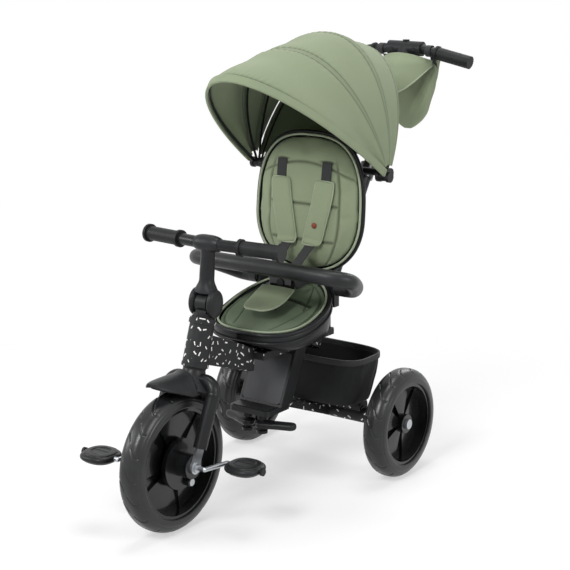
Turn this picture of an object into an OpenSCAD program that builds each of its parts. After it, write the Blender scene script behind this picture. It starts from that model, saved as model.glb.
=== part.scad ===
// Toddler push along trike with canopy, safety ring, parent handle and rear basket.
// Ground is Z = 0, the rider faces -Y, the rider's left is +X, and the origin is the
// middle of the footprint. Lengths are millimetres and angles are degrees.

/* [Wheels] */
// Distance from the front axle to the rear axle
wheel_base = 534; // [500:1:600]
// Distance between the centres of the two rear wheels
track = 412; // [400:1:460]
// Front wheel diameter over the tread
front_d = 290; // [260:1:310]
// Rear wheel diameter over the tread
rear_d = 244; // [220:1:260]
// Tyre width
tyre_w = 54; // [46:1:58]
// Tyre thickness from tread to rim seat
tyre_t = 30; // [22:1:34]
// Corner radius of the tread
tread_r = 21; // [18:1:23]
// Rim barrel wall
rim_wall = 7; // [4:0.5:10]
// Number of spokes in each wheel
spokes = 5; // [3:1:8]
// Width of each spoke as a sweep angle
spoke_angle = 52; // [30:1:58]
// Radius of the front hub barrel
front_hub_r = 25; // [20:1:30]
// Radius of the front hub flange that carries the clutch pin
hub_flange_r = 53; // [48:1:58]
// Radius of the rear hub barrel
rear_hub_r = 21; // [18:1:26]
// Reach of the rear hub towards the frame
rear_hub_in = 32; // [28:1:36]
// Reach of the rear hub away from the frame
rear_hub_out = 20; // [16:1:22]

/* [Drive] */
// Radius of the crank rod
crank_r = 5; // [4:0.5:6]
// Crank throw from the axle to the pedal spindle
crank_throw = 74; // [55:1:85]
// Distance from the middle plane to the crank arm
crank_x = 82; // [76:1:95]
// How far the crank is turned past level in the rest pose
crank_turn = 6; // [0:1:90]
// Pedal length along its spindle
pedal_w = 80; // [70:1:95]
// Pedal size along the foot
pedal_d = 78; // [70:1:95]
// Pedal thickness
pedal_t = 21; // [16:1:26]
// Radius of the clutch pin shaft
clutch_r = 5; // [3.5:0.5:6]
// Travel of the clutch pin
clutch_travel = 6; // [3:0.5:7]

/* [Steering] */
// Lean of the steering axis from vertical
rake = 17; // [10:1:22]
// Distance of the front axle ahead of the steering axis
fork_offset = 18; // [8:1:26]
// Distance from the tread to the bottom of the head tube
crown_gap = 50; // [46:1:60]
// Length of the head tube
head_len = 100; // [90:1:120]
// Outer radius of the head tube
head_r = 26; // [23:1:32]
// Radius of the steerer
steerer_r = 12.5; // [10:0.5:14]
// Wall of the head bushes
bush_wall = 3.5; // [2:0.5:4]
// Distance from the middle plane to the centre of a fork leg
fork_half = 58; // [54:1:66]
// Radius of a fork leg
leg_r = 14; // [10:0.5:15]
// Radius of the bend between crown and leg
crown_bend = 25; // [18:1:30]
// Thickness of the dropout plates
drop_t = 6; // [4:0.5:8]
// Gap between tread and fender
fender_gap = 7; // [5:1:10]
// Fender wall
fender_t = 3.5; // [2.5:0.5:5]
// Half width of the fender under the crown
fender_half = 31.5; // [29:1:36]
// Height of the stem pivot above the head tube
knuckle_h = 31; // [28:1:40]
// Radius of the stem knuckle
knuckle_r = 20; // [16:1:24]
// Width of the middle knuckle barrel
knuckle_w = 27; // [20:1:32]
// Thickness of each stem ear
ear_t = 14; // [10:1:18]
// Forward lean of the stem from the steering axis
stem_lean = 12; // [6:1:18]
// Distance from the stem pivot to the handlebar
stem_len = 122; // [110:1:150]
// Radius of the stem
stem_r = 17.5; // [15:0.5:20]
// Half length of the handlebar
bar_half = 173; // [160:1:195]
// Backward sweep of each handlebar half
bar_sweep = 7; // [0:1:15]
// Radius of the handlebar tube
bar_r = 12; // [10:0.5:14]
// Length of a handlebar grip
grip_len = 98; // [85:1:105]
// Wall of a grip
grip_wall = 3; // [2:0.5:5]

/* [Frame] */
// Half width of the frame arm behind the head tube
arm_half = 21; // [16:1:26]
// Underside of the seat plate above the ground
plate_z = 305; // [268:1:336]
// Thickness of the seat plate
plate_t = 15; // [10:1:20]
// Half width of the seat plate
plate_half = 46; // [40:1:52]
// Front edge of the pedestal foot from the rear axle
ped_y = 240; // [230:1:250]
// Top of the pedestal base
base_z = 190; // [182:1:200]
// Thickness of the pedestal base
base_t = 12; // [10:1:20]
// Half width of the pedestal base
base_half = 52; // [48:1:60]
// Width of the pedestal housing
ped_w = 112; // [100:1:120]
// Depth of the pedestal housing
ped_depth = 36; // [28:1:60]
// Lean of the pedestal
ped_tilt = 25.6; // [18:0.2:30]
// Thickness of the pedestal front panel
panel_t = 5; // [3:0.5:8]
// Radius of the rear axle beam
beam_r = 19; // [16:1:22]
// Radius of the rear axle rod
axle_r = 6; // [5:0.5:8]
// Reach of each footrest from its pivot
footrest_len = 76; // [66:1:90]
// Width of each footrest
footrest_w = 36; // [30:1:37]
// Thickness of each footrest
footrest_t = 25; // [18:1:28]
// Backward sweep of each footrest
footrest_sweep = 20; // [5:1:30]
// Distance of each footrest pivot from the middle plane
footrest_x = 19.5; // [19:0.5:24]

/* [Seat] */
// Overall width of the seat pan
pan_w = 244; // [215:1:268]
// Length of the seat pan
pan_l = 240; // [211:1:264]
// Rear edge of the seat pan ahead of the rear axle
pan_back = 74; // [66:1:84]
// Wall of the seat pan
pan_wall = 6; // [4:0.5:8]
// Height of the pan rim at the front
pan_front_h = 45; // [34:1:48]
// Height of the pan wings at the safety ring
pan_wing_h = 121; // [106:1:140]
// Thickness of the seat cushion in the middle
cushion_t = 62; // [50:1:68]
// Radius of the foam safety ring
ring_r = 17; // [14:0.5:20]
// Half width of the safety ring to the centre of the tube
ring_half = 198; // [190:1:215]
// Reach of the safety ring ahead of its pivot
ring_reach = 145; // [128:1:160]
// Rise of the ring front above its pivot
ring_rise = 61; // [54:1:67]
// Distance of the ring pivot ahead of the rear axle
ring_y = 100; // [88:1:110]
// Height of the ring pivot above the ground
ring_z = 434; // [382:1:477]

/* [Backrest] */
// Bottom edge of the backrest above the ground
back_z0 = 452; // [398:1:497]
// Height of the backrest
back_h = 305; // [290:1:330]
// Width of the backrest at its widest
back_w = 280; // [250:1:290]
// Depth of the dished shell
back_depth = 38; // [30:1:46]
// Wall of the shell
shell_t = 6; // [4:0.5:8]
// Crown of the back pad over the rim
pad_crown = 22; // [14:1:28]
// Height of the recline pivot above the ground
recline_z = 400; // [390:1:408]
// Distance of the recline pivot ahead of the rear axle
recline_y = 42; // [40:1:44]

/* [Canopy] */
// Height of the canopy pivots above the ground
canopy_z = 672; // [591:1:739]
// Distance of the canopy pivots ahead of the rear axle
canopy_y = 17.5; // [10:0.5:24]
// Distance of the first bow eye from the middle plane
hub_x = 160; // [154:1:170]
// Thickness of a bow strip
bow_t = 2.8; // [2:0.2:3]
// Width of a bow strip
bow_w = 8; // [6:0.5:9]
// Radius of the middle bows
bow_r = 292; // [280:1:310]
// Radius of the longer front bow
visor_r = 390; // [360:1:410]
// Thickness of the cloth
cloth_t = 1.6; // [1.2:0.1:2.5]

/* [Parent handle] */
// Distance from the post foot to the push bar
post_len = 716.7; // [680:0.1:740]
// Backward lean of the post
post_lean = 31.36; // [29:0.02:33]
// Distance of the post foot ahead of the rear axle
post_y = 35; // [28:1:42]
// Height of the post foot above the ground
post_z = 300; // [264:1:330]
// Outer radius of the lower post tube
post_r = 15; // [13.5:0.5:17]
// Radius of the sliding upper tube
slider_r = 12.4; // [10:0.1:13.6]
// Length of the lower post tube above its foot
post_low = 400; // [360:1:430]
// Half length of the push bar
push_half = 172; // [150:1:190]
// Droop of the ends of the push bar
push_droop = 25; // [10:1:35]
// Radius of the push bar
push_r = 11; // [9:0.5:13]
// Half length of the push bar housing
housing_half = 45; // [40:1:50]
// Height of the parent bag
bag_h = 162; // [130:1:180]
// Half width of the parent bag
bag_half = 74; // [64:1:84]
// Depth of the parent bag
bag_d = 46; // [36:1:56]

/* [Basket] */
// Half width of the basket
basket_half = 146; // [130:1:158]
// Front edge of the basket ahead of the rear axle
basket_front = 96; // [80:1:104]
// Rear edge of the basket behind the rear axle
basket_rear = 44; // [36:1:70]
// Top of the basket rim above the ground
basket_top = 268; // [236:1:295]
// Basket wall
basket_wall = 3; // [2:0.5:5]

/* [Fits] */
// Gap between pieces that sit on each other
seat_gap = 0.3; // [0.2:0.05:0.4]
// Running clearance round a pin or shaft
run = 0.06; // [0.02:0.01:0.1]
// Side play of a turning piece
side_gap = 0.5; // [0.3:0.1:0.8]

/* [Hidden] */
$fn = 64;

plastic = "#3a3a3d";
gloss = "#17171a";
rubber = "#2c2c2e";
zinc = "#b9bcc0";
sage = "#9aa689";
moss = "#66755a";
eps = 0.01;

// Sums, unit vectors, blends and powers of a signed number
function total(v, i = 0, s = 0) = i == len(v) ? s : total(v, i + 1, s + v[i]);
function unit(v) = v / norm(v);
function mix(a, b, t) = a + (b - a) * t;
function clamp(t) = min(1, max(0, t));
function ease(a, b, v) = let (t = clamp((v - a) / (b - a))) t * t * (3 - 2 * t);
function spow(c, e) = sign(c) * pow(abs(c), e);
function groove(v, at, w) = exp(-pow((v - at) / w, 2));

// Point of a superellipse with half axes a and b and power n at parameter angle t
function super(a, b, n, t) = [a * spow(cos(t), 2 / n), b * spow(sin(t), 2 / n)];

// Smooth curve through control points, k steps from one to the next
function knot(a, b, c, d, t) = 0.5 * (2 * b + (c - a) * t + (2 * a - 5 * b + 4 * c - d) * t * t
    + (3 * b - a - 3 * c + d) * t * t * t);
function smooth(p, k) = concat([for (i = [0 : len(p) - 2], s = [0 : k - 1])
    knot(p[max(i - 1, 0)], p[i], p[i + 1], p[min(i + 2, len(p) - 1)], s / k)], [p[len(p) - 1]]);

// Solid from points and triangles, turned the right way out by its signed volume
function quad(a, b, c, d) = [[a, b, c], [a, c, d]];
module solid(p, f) {
    vol = total([for (t = f) p[t[0]] * cross(p[t[1]], p[t[2]])]);
    polyhedron(p, vol > 0 ? [for (t = f) [t[2], t[1], t[0]]] : f);
}

// Closed skin between two grids of points with the same rows and columns
function grid_faces(m, n, o, flip) = [for (i = [0 : m - 2], j = [0 : n - 2])
    let (p = o + i * n + j, q = p + n)
    each (flip ? quad(p, q, q + 1, p + 1) : quad(p, p + 1, q + 1, q))];
module sheet(a, b) {
    m = len(a);
    n = len(a[0]);
    o = m * n;
    edge = concat([for (j = [0 : n - 1]) j], [for (i = [1 : m - 1]) i * n + n - 1],
        [for (j = [n - 2 : -1 : 0]) (m - 1) * n + j], [for (i = [m - 2 : -1 : 1]) i * n]);
    k = len(edge);
    walls = [for (e = [0 : k - 1]) let (p = edge[e], q = edge[(e + 1) % k])
        each quad(p, o + p, o + q, q)];
    solid(concat([for (r = a) each r], [for (r = b) each r]),
        concat(grid_faces(m, n, 0, false), grid_faces(m, n, o, true), walls));
}

// Closed loft through rings with the same number of points
module loft(rings) {
    m = len(rings);
    n = len(rings[0]);
    mid0 = total(rings[0], 0, [0, 0, 0]) / n;
    mid1 = total(rings[m - 1], 0, [0, 0, 0]) / n;
    side = [for (i = [0 : m - 2], j = [0 : n - 1]) let (p = i * n + j, q = i * n + (j + 1) % n)
        each quad(p, q, q + n, p + n)];
    caps = concat([for (j = [0 : n - 1]) [(j + 1) % n, j, m * n]],
        [for (j = [0 : n - 1]) [(m - 1) * n + j, (m - 1) * n + (j + 1) % n, m * n + 1]]);
    solid(concat([for (r = rings) each r], [mid0, mid1]), concat(side, caps));
}

// Tube with an oval section swept along points, ref stays square to the bend
function tangent(p, i) = unit(p[min(i + 1, len(p) - 1)] - p[max(i - 1, 0)]);
module tube_path(p, ra, rb, ref, n = 12) loft([for (i = [0 : len(p) - 1])
    let (t = tangent(p, i), a = unit(cross(ref, t)), b = cross(t, a))
    [for (k = [0 : n - 1]) p[i] + ra * cos(360 * k / n) * a + rb * sin(360 * k / n) * b]]);

// Rod along X between two places, plate with round corners, and a mirrored pair
module rod(x0, x1, r) translate([x0, 0, 0]) rotate([0, 90, 0]) cylinder(r = r, h = x1 - x0);
module round_rect(w, h, r) {
    square([w - 2 * r, h], center = true);
    square([w, h - 2 * r], center = true);
    for (x = [-1, 1], y = [-1, 1]) translate([x * (w / 2 - r), y * (h / 2 - r)]) circle(r);
}
module slab(w, d, h, r) linear_extrude(h) round_rect(w, d, r);
module box(x0, x1, y0, y1, z0, z1) translate([x0, y0, z0]) cube([x1 - x0, y1 - y0, z1 - z0]);
module pair() { children(); mirror([1, 0, 0]) children(); }

// The middle of the footprint lies between the front tread and the back of the bag
push_y = post_len * sin(post_lean) - post_y;
push_z = post_z + post_len * cos(post_lean);
housing_r = push_r + 6;
bag_y = push_y + housing_r - 9;
mid_y = (bag_y + bag_d - wheel_base - front_d / 2) / 2;
module place() translate([0, -mid_y, 0]) children();

// Steering axis: the bottom of the head tube is the local origin and +Z runs up the axis
fork_h = front_d / 2 + crown_gap;
head_y = -wheel_base + fork_h * sin(rake) + fork_offset * cos(rake);
head_z = front_d / 2 + fork_h * cos(rake) - fork_offset * sin(rake);
flange_t = 3;
crown_z = -leg_r - 10;
pivot_z = head_len + knuckle_h;
leg_drop = fork_h + crown_z - crown_bend;
leg_tilt = atan(fork_offset / leg_drop);
leg_len = norm([fork_offset, leg_drop]);
drop_len = 38;
module at_steer() place() translate([0, head_y, head_z]) rotate([-rake, 0, 0]) children();
module at_stem() at_steer() translate([0, 0, pivot_z]) rotate([stem_lean, 0, 0]) children();
module at_front() place() translate([0, -wheel_base, front_d / 2]) children();
module at_leg() translate([fork_half, 0, crown_z - crown_bend]) rotate([-leg_tilt, 0, 0]) children();
front_hub = fork_half - drop_t / 2 - side_gap;

// Rear wheels, pedestal and post stand on the rear axle line
rear_r = rear_d / 2;
beam_half = track / 2 - rear_hub_in - side_gap;
cap_t = 5;
seat_z = plate_z + plate_t;
module at_rear() place() translate([0, 0, rear_r]) children();
module at_ped() place() translate([0, -ped_y, base_z]) rotate([-ped_tilt, 0, 0]) children();
module at_post() place() translate([0, -post_y, post_z]) rotate([-post_lean, 0, 0]) children();
module at_push() place() translate([0, push_y, push_z]) children();
module at_ring() place() translate([0, -ring_y, ring_z]) children();
module at_recline() place() translate([0, -recline_y, recline_z]) children();
module at_canopy() place() translate([0, -canopy_y, canopy_z]) children();

// Wheels: a tyre with round shoulders, and a rim with wide dished spokes raised on a thin closed web
module tyre(radius) color(rubber) rotate([0, 90, 0]) difference() {
    low = radius - tyre_t;
    shoulder = tyre_w / 2 - tread_r;
    rotate_extrude($fn = 96) {
        translate([low - 9, -tyre_w / 2]) square([tyre_t - tread_r + 9, tyre_w]);
        translate([low - 9, -shoulder]) square([tyre_t + 9, 2 * shoulder]);
        for (s = [-1, 1]) translate([radius - tread_r, s * shoulder]) circle(tread_r);
    }
    cylinder(r = low, h = tyre_w + 2, center = true, $fn = 96);
}
module rim(radius, hub_r, hub_in, hub_out, bore) {
    seat = radius - tyre_t - seat_gap;
    web = 9;
    difference() {
        union() {
            rotate([0, 90, 0]) difference() {
                cylinder(r = seat, h = tyre_w - 8, center = true, $fn = 96);
                cylinder(r = seat - rim_wall, h = tyre_w, center = true, $fn = 96);
            }
            for (i = [0 : spokes - 1]) rotate([0, 90, 0])
                rotate([0, 0, i * 360 / spokes - spoke_angle / 2 + 180])
                rotate_extrude(angle = spoke_angle) polygon([[hub_r - 4, 6],
                    [seat - rim_wall + 1, -1], [seat - rim_wall + 1, -1 - web], [hub_r - 4, -web]]);
            rotate([0, 90, 0]) translate([0, 0, 2 - web]) cylinder(r = seat - rim_wall + 2, h = 3, $fn = 96);
            rod(-hub_in, hub_out, hub_r);
        }
        rod(-hub_in - 1, hub_out + 1, bore);
    }
}
module rear_wheel_at(side) place() translate([side * track / 2, 0, rear_r])
    mirror([side < 0 ? 1 : 0, 0, 0]) children();
module rear_rim() color(gloss) rim(rear_r, rear_hub_r, rear_hub_in, rear_hub_out, axle_r + run);
module rear_rim_left() rear_wheel_at(1) rear_rim();
module rear_rim_right() rear_wheel_at(-1) rear_rim();
module rear_tyre_left() rear_wheel_at(1) tyre(rear_r);
module rear_tyre_right() rear_wheel_at(-1) tyre(rear_r);

// Front wheel with a flange on one side that guides the clutch pin
flange_x = 16;
pin_boss_x = 34;
pin_at = hub_flange_r - clutch_r - 4;
module at_pin() rotate([20, 0, 0]) translate([0, 0, -pin_at]) children();
module front_rim() color(gloss) at_front() difference() {
    union() {
        rim(front_d / 2, front_hub_r, front_hub, front_hub, crank_r + run);
        difference() {
            rod(flange_x, flange_x + 10, hub_flange_r);
            rod(0, front_hub, front_hub_r - 2);
        }
        at_pin() rod(flange_x, pin_boss_x, clutch_r + 4);
    }
    at_pin() rod(flange_x - 8, pin_boss_x + 1, clutch_r + run);
    at_pin() rod(pin_boss_x, front_hub + 1, clutch_r + 3);
}
module front_tyre() at_front() tyre(front_d / 2);
module clutch_pin() color(zinc) at_front() at_pin() {
    rod(flange_x + 8 - clutch_travel, pin_boss_x + seat_gap, clutch_r);
    rod(pin_boss_x + seat_gap, pin_boss_x + 4, clutch_r + 2.5);
}

// Bent crank rod and the pedals that turn on its ends
nut_t = 5;
spindle_end = crank_x + crank_r + 2 * side_gap + pedal_w + nut_t;
module crank_half() {
    rod(-eps, crank_x, crank_r);
    translate([crank_x, 0, 0]) sphere(crank_r);
    translate([crank_x, 0, 0]) rotate([-90, 0, 0]) cylinder(r = crank_r, h = crank_throw);
    translate([crank_x, crank_throw, 0]) sphere(crank_r);
    translate([0, crank_throw, 0]) rod(crank_x, spindle_end, crank_r);
}
module at_crank() at_front() rotate([-crank_turn, 0, 0]) children();
module at_pedal(side) at_front() translate([0, side * crank_throw * cos(crank_turn),
    -side * crank_throw * sin(crank_turn)]) mirror([side < 0 ? 1 : 0, 0, 0]) children();
module crank() color(zinc) at_crank() {
    crank_half();
    rotate([0, 0, 180]) crank_half();
}
module pedal_nuts() color(zinc) for (side = [1, -1]) at_pedal(side) difference() {
    rod(spindle_end - nut_t + seat_gap, spindle_end + 1, crank_r + 3);
    rod(spindle_end - nut_t, spindle_end + seat_gap, crank_r + run);
}
module pedal() color(plastic) translate([crank_x + crank_r + side_gap, 0, 0]) difference() {
    union() {
        translate([pedal_w / 2, 0, -pedal_t / 2 + 2]) slab(pedal_w, pedal_d, pedal_t - 4, 38);
        for (s = [-1, 1]) translate([pedal_w / 2, 0, s * (pedal_t / 2 - 1) - 1])
            difference() {
                slab(pedal_w - 14, pedal_d - 14, 2, 31);
                translate([0, 0, -1]) slab(pedal_w - 28, pedal_d - 28, 4, 24);
            }
    }
    rod(-1, pedal_w + 1, crank_r + run);
}
module pedal_left() at_pedal(1) pedal();
module pedal_right() at_pedal(-1) pedal();

// Fork with steerer, crown, bent legs and flat dropouts
module fork() color(plastic) at_steer() difference() {
    union() {
        translate([0, 0, crown_z]) cylinder(r = steerer_r, h = head_len + flange_t + 4 - crown_z);
        translate([0, 0, crown_z]) cylinder(r = head_r - 3, h = -crown_z - flange_t - seat_gap);
        translate([0, 0, crown_z]) rod(-fork_half + crown_bend, fork_half - crown_bend, leg_r);
        pair() {
            translate([fork_half - crown_bend, 0, crown_z - crown_bend]) rotate([90, 0, 0])
                rotate_extrude(angle = 90) translate([crown_bend, 0]) circle(leg_r);
            at_leg() sphere(leg_r + 0.8);
            at_leg() translate([0, 0, drop_len - leg_len]) cylinder(r = leg_r, h = leg_len - drop_len);
        }
    }
}
module dropouts() color(zinc) at_steer() pair() at_leg() translate([0, 0, -leg_len]) difference() {
    union() {
        rod(-drop_t / 2, drop_t / 2, 14);
        box(-drop_t / 2, drop_t / 2, -11, 11, 0, drop_len - 0.05);
        rod(-drop_t / 2, drop_t / 2 + 4, 10);
    }
    rod(-drop_t, drop_t + 5, crank_r + run);
}

// Fender: an arched shell under the crown, with a level ridge from the head tube out to a beak
fender_r = front_d / 2 + fender_gap;
fender_back = -62;
fender_tip = 21;
fender_rows = 28;
function fender_row(i, t) = let (a = mix(fender_back, fender_tip, i / fender_rows), front = ease(-24, 34, a),
        half = fender_half + 10 * ease(-62, -30, a) - 35 * pow(ease(-6, 26, a), 1.3),
        base = fender_r + 6 * ease(-30, -70, a) + 44 * front * front,
        nose = max(0, (fender_r + 26) / cos(a) - base) * ease(-17, -11, a))
    [for (j = [-6 : 6]) let (s = j / 6, r = base + t + nose * (1 - pow(abs(s), 2.2))
            - (16 - 8 * front) * pow(abs(s), 2.6))
        [half * s, -r * sin(a), r * cos(a)]];
module fender() color(plastic) {
    boss_low = sqrt(pow(fender_r + fender_t / 2, 2) - pow(fork_offset, 2)) - fork_h;
    at_front() sheet([for (i = [0 : fender_rows]) fender_row(i, fender_t)],
        [for (i = [0 : fender_rows]) fender_row(i, 0)]);
    at_steer() translate([0, 0, boss_low])
        cylinder(r = 11, h = crown_z - leg_r - seat_gap - boss_low);
}

// Head tube, arm, seat plate, recline lugs and post socket are one frame piece
socket_r = post_r + seat_gap;
lug_x = 31;
barrel_r = 10;
pin_r = 5;
post_foot = 24;
pan_y0 = -pan_back - pan_l;
module main_frame() color(plastic) difference() {
    union() {
        at_steer() {
            cylinder(r1 = head_r + 1, r2 = head_r - 1, h = head_len);
            translate([0, 0, head_len - 12]) cylinder(r = head_r + 2, h = 12);
            cylinder(r = head_r + 2, h = 8);
        }
        hull() {
            at_steer() translate([0, 14, 8]) slab(2 * arm_half, 22, 60, 8, $fn = 32);
            place() translate([0, pan_y0 + 22, seat_z - 40]) slab(2 * arm_half, 20, 48, 8, $fn = 32);
        }
        place() box(-plate_half, plate_half, pan_y0 + 26, -post_y + 11, plate_z, seat_z);
        at_recline() pair() {
            rod(lug_x, lug_x + 10, barrel_r + 2);
            box(lug_x, lug_x + 10, -barrel_r - 2, barrel_r + 2, seat_z - recline_z - 1, 0);
        }
        at_post() translate([0, 0, -post_foot - 5]) cylinder(r = post_r + 6, h = post_foot + 47);
    }
    at_steer() translate([0, 0, -1]) cylinder(r = steerer_r + bush_wall + 0.1, h = head_len + 2);
    at_recline() rod(-lug_x - 11, lug_x + 11, pin_r + run);
    at_post() translate([0, 0, -post_foot]) cylinder(r = socket_r, h = 110);
}
module bush() difference() {
    union() {
        translate([0, 0, -flange_t]) cylinder(r = head_r - 2, h = flange_t);
        translate([0, 0, -eps]) cylinder(r = steerer_r + bush_wall, h = 15);
    }
    translate([0, 0, -flange_t - 1]) cylinder(r = steerer_r + run, h = 20);
}
module head_bushes() color(rubber) at_steer() {
    bush();
    translate([0, 0, head_len]) mirror([0, 0, 1]) bush();
}

// Stem knuckle: a barrel on the steerer, two ears on the stem and a pin through both
knuckle_top = knuckle_h - flange_t - knuckle_r - 2;
module knuckle_base() color(plastic) at_steer() difference() {
    union() {
        translate([0, 0, head_len + flange_t + seat_gap]) cylinder(r = head_r - 4, h = knuckle_top);
        translate([0, 0, pivot_z]) rod(-knuckle_w / 2, knuckle_w / 2, knuckle_r);
        box(-knuckle_w / 2, knuckle_w / 2, -12, 12, head_len + flange_t + seat_gap, pivot_z);
    }
    translate([0, 0, head_len]) cylinder(r = steerer_r + run, h = flange_t + 4 + seat_gap);
    translate([0, 0, pivot_z]) rod(-knuckle_w, knuckle_w, pin_r + run);
}
ear_x = knuckle_w / 2 + side_gap;
module knuckle_pin() color(zinc) at_stem() {
    rod(-ear_x - ear_t - seat_gap, ear_x + ear_t + seat_gap, pin_r);
    pair() rod(ear_x + ear_t + seat_gap, ear_x + ear_t + 3, pin_r + 3);
}
clamp_half = 25;
module stem() color(plastic) at_stem() difference() {
    union() {
        pair() {
            rod(ear_x, ear_x + ear_t, knuckle_r + 1);
            box(ear_x, ear_x + ear_t, -stem_r, stem_r, 0, knuckle_r + 9);
        }
        box(-ear_x - 1, ear_x + 1, -stem_r, stem_r, knuckle_r + 3, knuckle_r + 9);
        translate([0, 0, knuckle_r + 8.5]) cylinder(r1 = stem_r + 6, r2 = stem_r, h = 22);
        translate([0, 0, knuckle_r + 10]) cylinder(r = stem_r, h = stem_len - knuckle_r - 10);
        translate([0, 0, stem_len]) rod(-clamp_half, clamp_half, bar_r + 9);
    }
    rod(-ear_x - ear_t - 1, ear_x + ear_t + 1, pin_r + run);
    translate([0, 0, stem_len]) rod(-clamp_half - 1, clamp_half + 1, bar_r + run);
}

// Handlebar with two swept halves, and grips with end flanges
bend_x = clamp_half + 4;
bend_r = 90;
half_len = bar_half - bend_x - bend_r * sin(bar_sweep);
module at_bend() translate([bend_x, bend_r, stem_len]) rotate([0, 0, -90]) children();
module at_half() at_bend() rotate([0, 0, bar_sweep]) translate([bend_r, 0, 0]) rotate([0, 0, 90]) children();
module handlebar() color(plastic) at_stem() {
    translate([0, 0, stem_len]) rod(-bend_x, bend_x, bar_r);
    pair() {
        at_bend() rotate_extrude(angle = bar_sweep) translate([bend_r, 0]) circle(bar_r);
        at_half() rod(0, half_len - 5, bar_r);
    }
}
module handlebar_grips() color(rubber) at_stem() pair() at_half() difference() {
    union() {
        rod(half_len - grip_len, half_len, bar_r + grip_wall);
        rod(half_len - 6, half_len, bar_r + grip_wall + 4);
        rod(half_len - grip_len, half_len - grip_len + 7, bar_r + grip_wall + 3);
    }
    rod(half_len - grip_len - 1, half_len - 4, bar_r + run);
}

// Pedestal under the seat: a leaning housing, its front panel and a base ledge
panel_h = (plate_z - base_z) / cos(ped_tilt) - 14;
module pedestal_housing() color(plastic) difference() {
    intersection() {
        at_ped() box(-ped_w / 2, ped_w / 2, 0, ped_depth, -60, 200);
        place() box(-ped_w, ped_w, -400, 100, base_z + 0.05, plate_z - 0.05);
    }
    at_ped() box(-ped_w / 2 + 6 - seat_gap, ped_w / 2 - 6 + seat_gap, -1, panel_t, 6 - seat_gap,
        6 + panel_h + seat_gap);
}
module pedestal_panel() color("#77777a") at_ped() translate([0, panel_t - 0.1, 6 + panel_h / 2])
    rotate([90, 0, 0]) slab(ped_w - 12, panel_h, panel_t, 8);
base_front = 42;
base_back = ped_depth / cos(ped_tilt) + 2;
module pedestal_base() color(plastic) place() {
    translate([0, -ped_y + (base_back - base_front) / 2, base_z - base_t])
        slab(2 * base_half, base_front + base_back, base_t, 9);
    translate([0, -ped_y - base_front / 2 - 1, base_z - 1]) slab(2 * base_half - 10, base_front - 9, 2.5, 6);
}

// Footrests swing back on two pins that hang under the base
footrest_y = -ped_y - base_front + footrest_w / 2 + 6;
footrest_z = base_z - base_t - 14 - footrest_t;
foot_pin_r = 6;
module at_foot() place() translate([footrest_x, footrest_y, footrest_z]) children();
module footrest_pivots() color(zinc) pair() at_foot() {
    translate([0, 0, -6 - seat_gap]) cylinder(r = 12, h = 6);
    translate([0, 0, -1]) cylinder(r = foot_pin_r, h = footrest_t + 15 - 0.05);
    translate([0, 0, footrest_t + seat_gap]) cylinder(r = 11, h = 14 - seat_gap - 0.05);
}
module footrest() color(plastic) difference() {
    union() {
        cylinder(r = footrest_w / 2, h = footrest_t);
        rotate([0, 0, footrest_sweep]) translate([footrest_len / 2, 0, 3])
            slab(footrest_len, footrest_w - 4, footrest_t - 6, 8);
        rotate([0, 0, footrest_sweep]) for (i = [0 : 2]) translate([28 + 16 * i, 0, footrest_t - 4])
            slab(7, footrest_w - 12, 3, 3);
    }
    translate([0, 0, -1]) cylinder(r = foot_pin_r + run, h = footrest_t + 2);
}
module footrest_left() at_foot() footrest();
module footrest_right() mirror([1, 0, 0]) at_foot() footrest();

// Rear frame: a stay from the pedestal to the axle beam, with lugs for the two brakes
stay_half = 28;
stay_front = -ped_y + base_back + 0.05;
stay_end = 8;
beam_rise = 20;
beam_mid = 112;
brake_y = 32;
brake_z = -17;
brake_x = 126;
brake_r = 9;
module rear_frame() color(plastic) difference() {
    union() {
        hull() {
            place() box(-stay_half, stay_half, stay_front, stay_front + 6, base_z - base_t + 1, base_z - 5);
            at_rear() box(-stay_half, stay_half, -12, 0, -beam_r + 4, stay_end);
        }
        at_rear() rod(-beam_half, beam_half, beam_r);
        at_rear() box(-beam_mid, beam_mid, 3 - beam_r, beam_r - 3, 0, beam_rise);
        at_rear() translate([0, 0, beam_rise]) rod(-beam_mid, beam_mid, beam_r - 3);
        at_rear() pair() {
            translate([0, brake_y, brake_z]) rod(brake_x, brake_x + 8, brake_r + 2);
            translate([brake_x, 0, 0]) rotate([0, 90, 0]) linear_extrude(8)
                polygon([[-brake_z + 11, brake_y], [10, 2], [-8, 8], [-brake_z - 8, brake_y + 7]]);
        }
    }
    at_rear() rod(-track, track, axle_r + 0.1);
    at_rear() pair() translate([0, brake_y, brake_z]) rod(brake_x - 1, brake_x + 9, 4 + run);
}
axle_end = track / 2 + rear_hub_out + side_gap + cap_t;
module rear_axle() color(zinc) at_rear() rod(-axle_end, axle_end, axle_r);
module axle_caps() color(zinc) at_rear() pair() difference() {
    rod(axle_end - cap_t, axle_end + 1.2, axle_r + 5);
    rod(axle_end - cap_t - 1, axle_end + seat_gap, axle_r + run);
}
module brake() color(plastic) at_rear() translate([brake_x + 8 + seat_gap, brake_y, brake_z]) {
    rod(-8, 1, 4);
    rod(0, 22, brake_r);
    translate([15, 24, -6]) slab(30, 48, 11, 7);
}
module brake_left() brake();
module brake_right() mirror([1, 0, 0]) brake();

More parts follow.
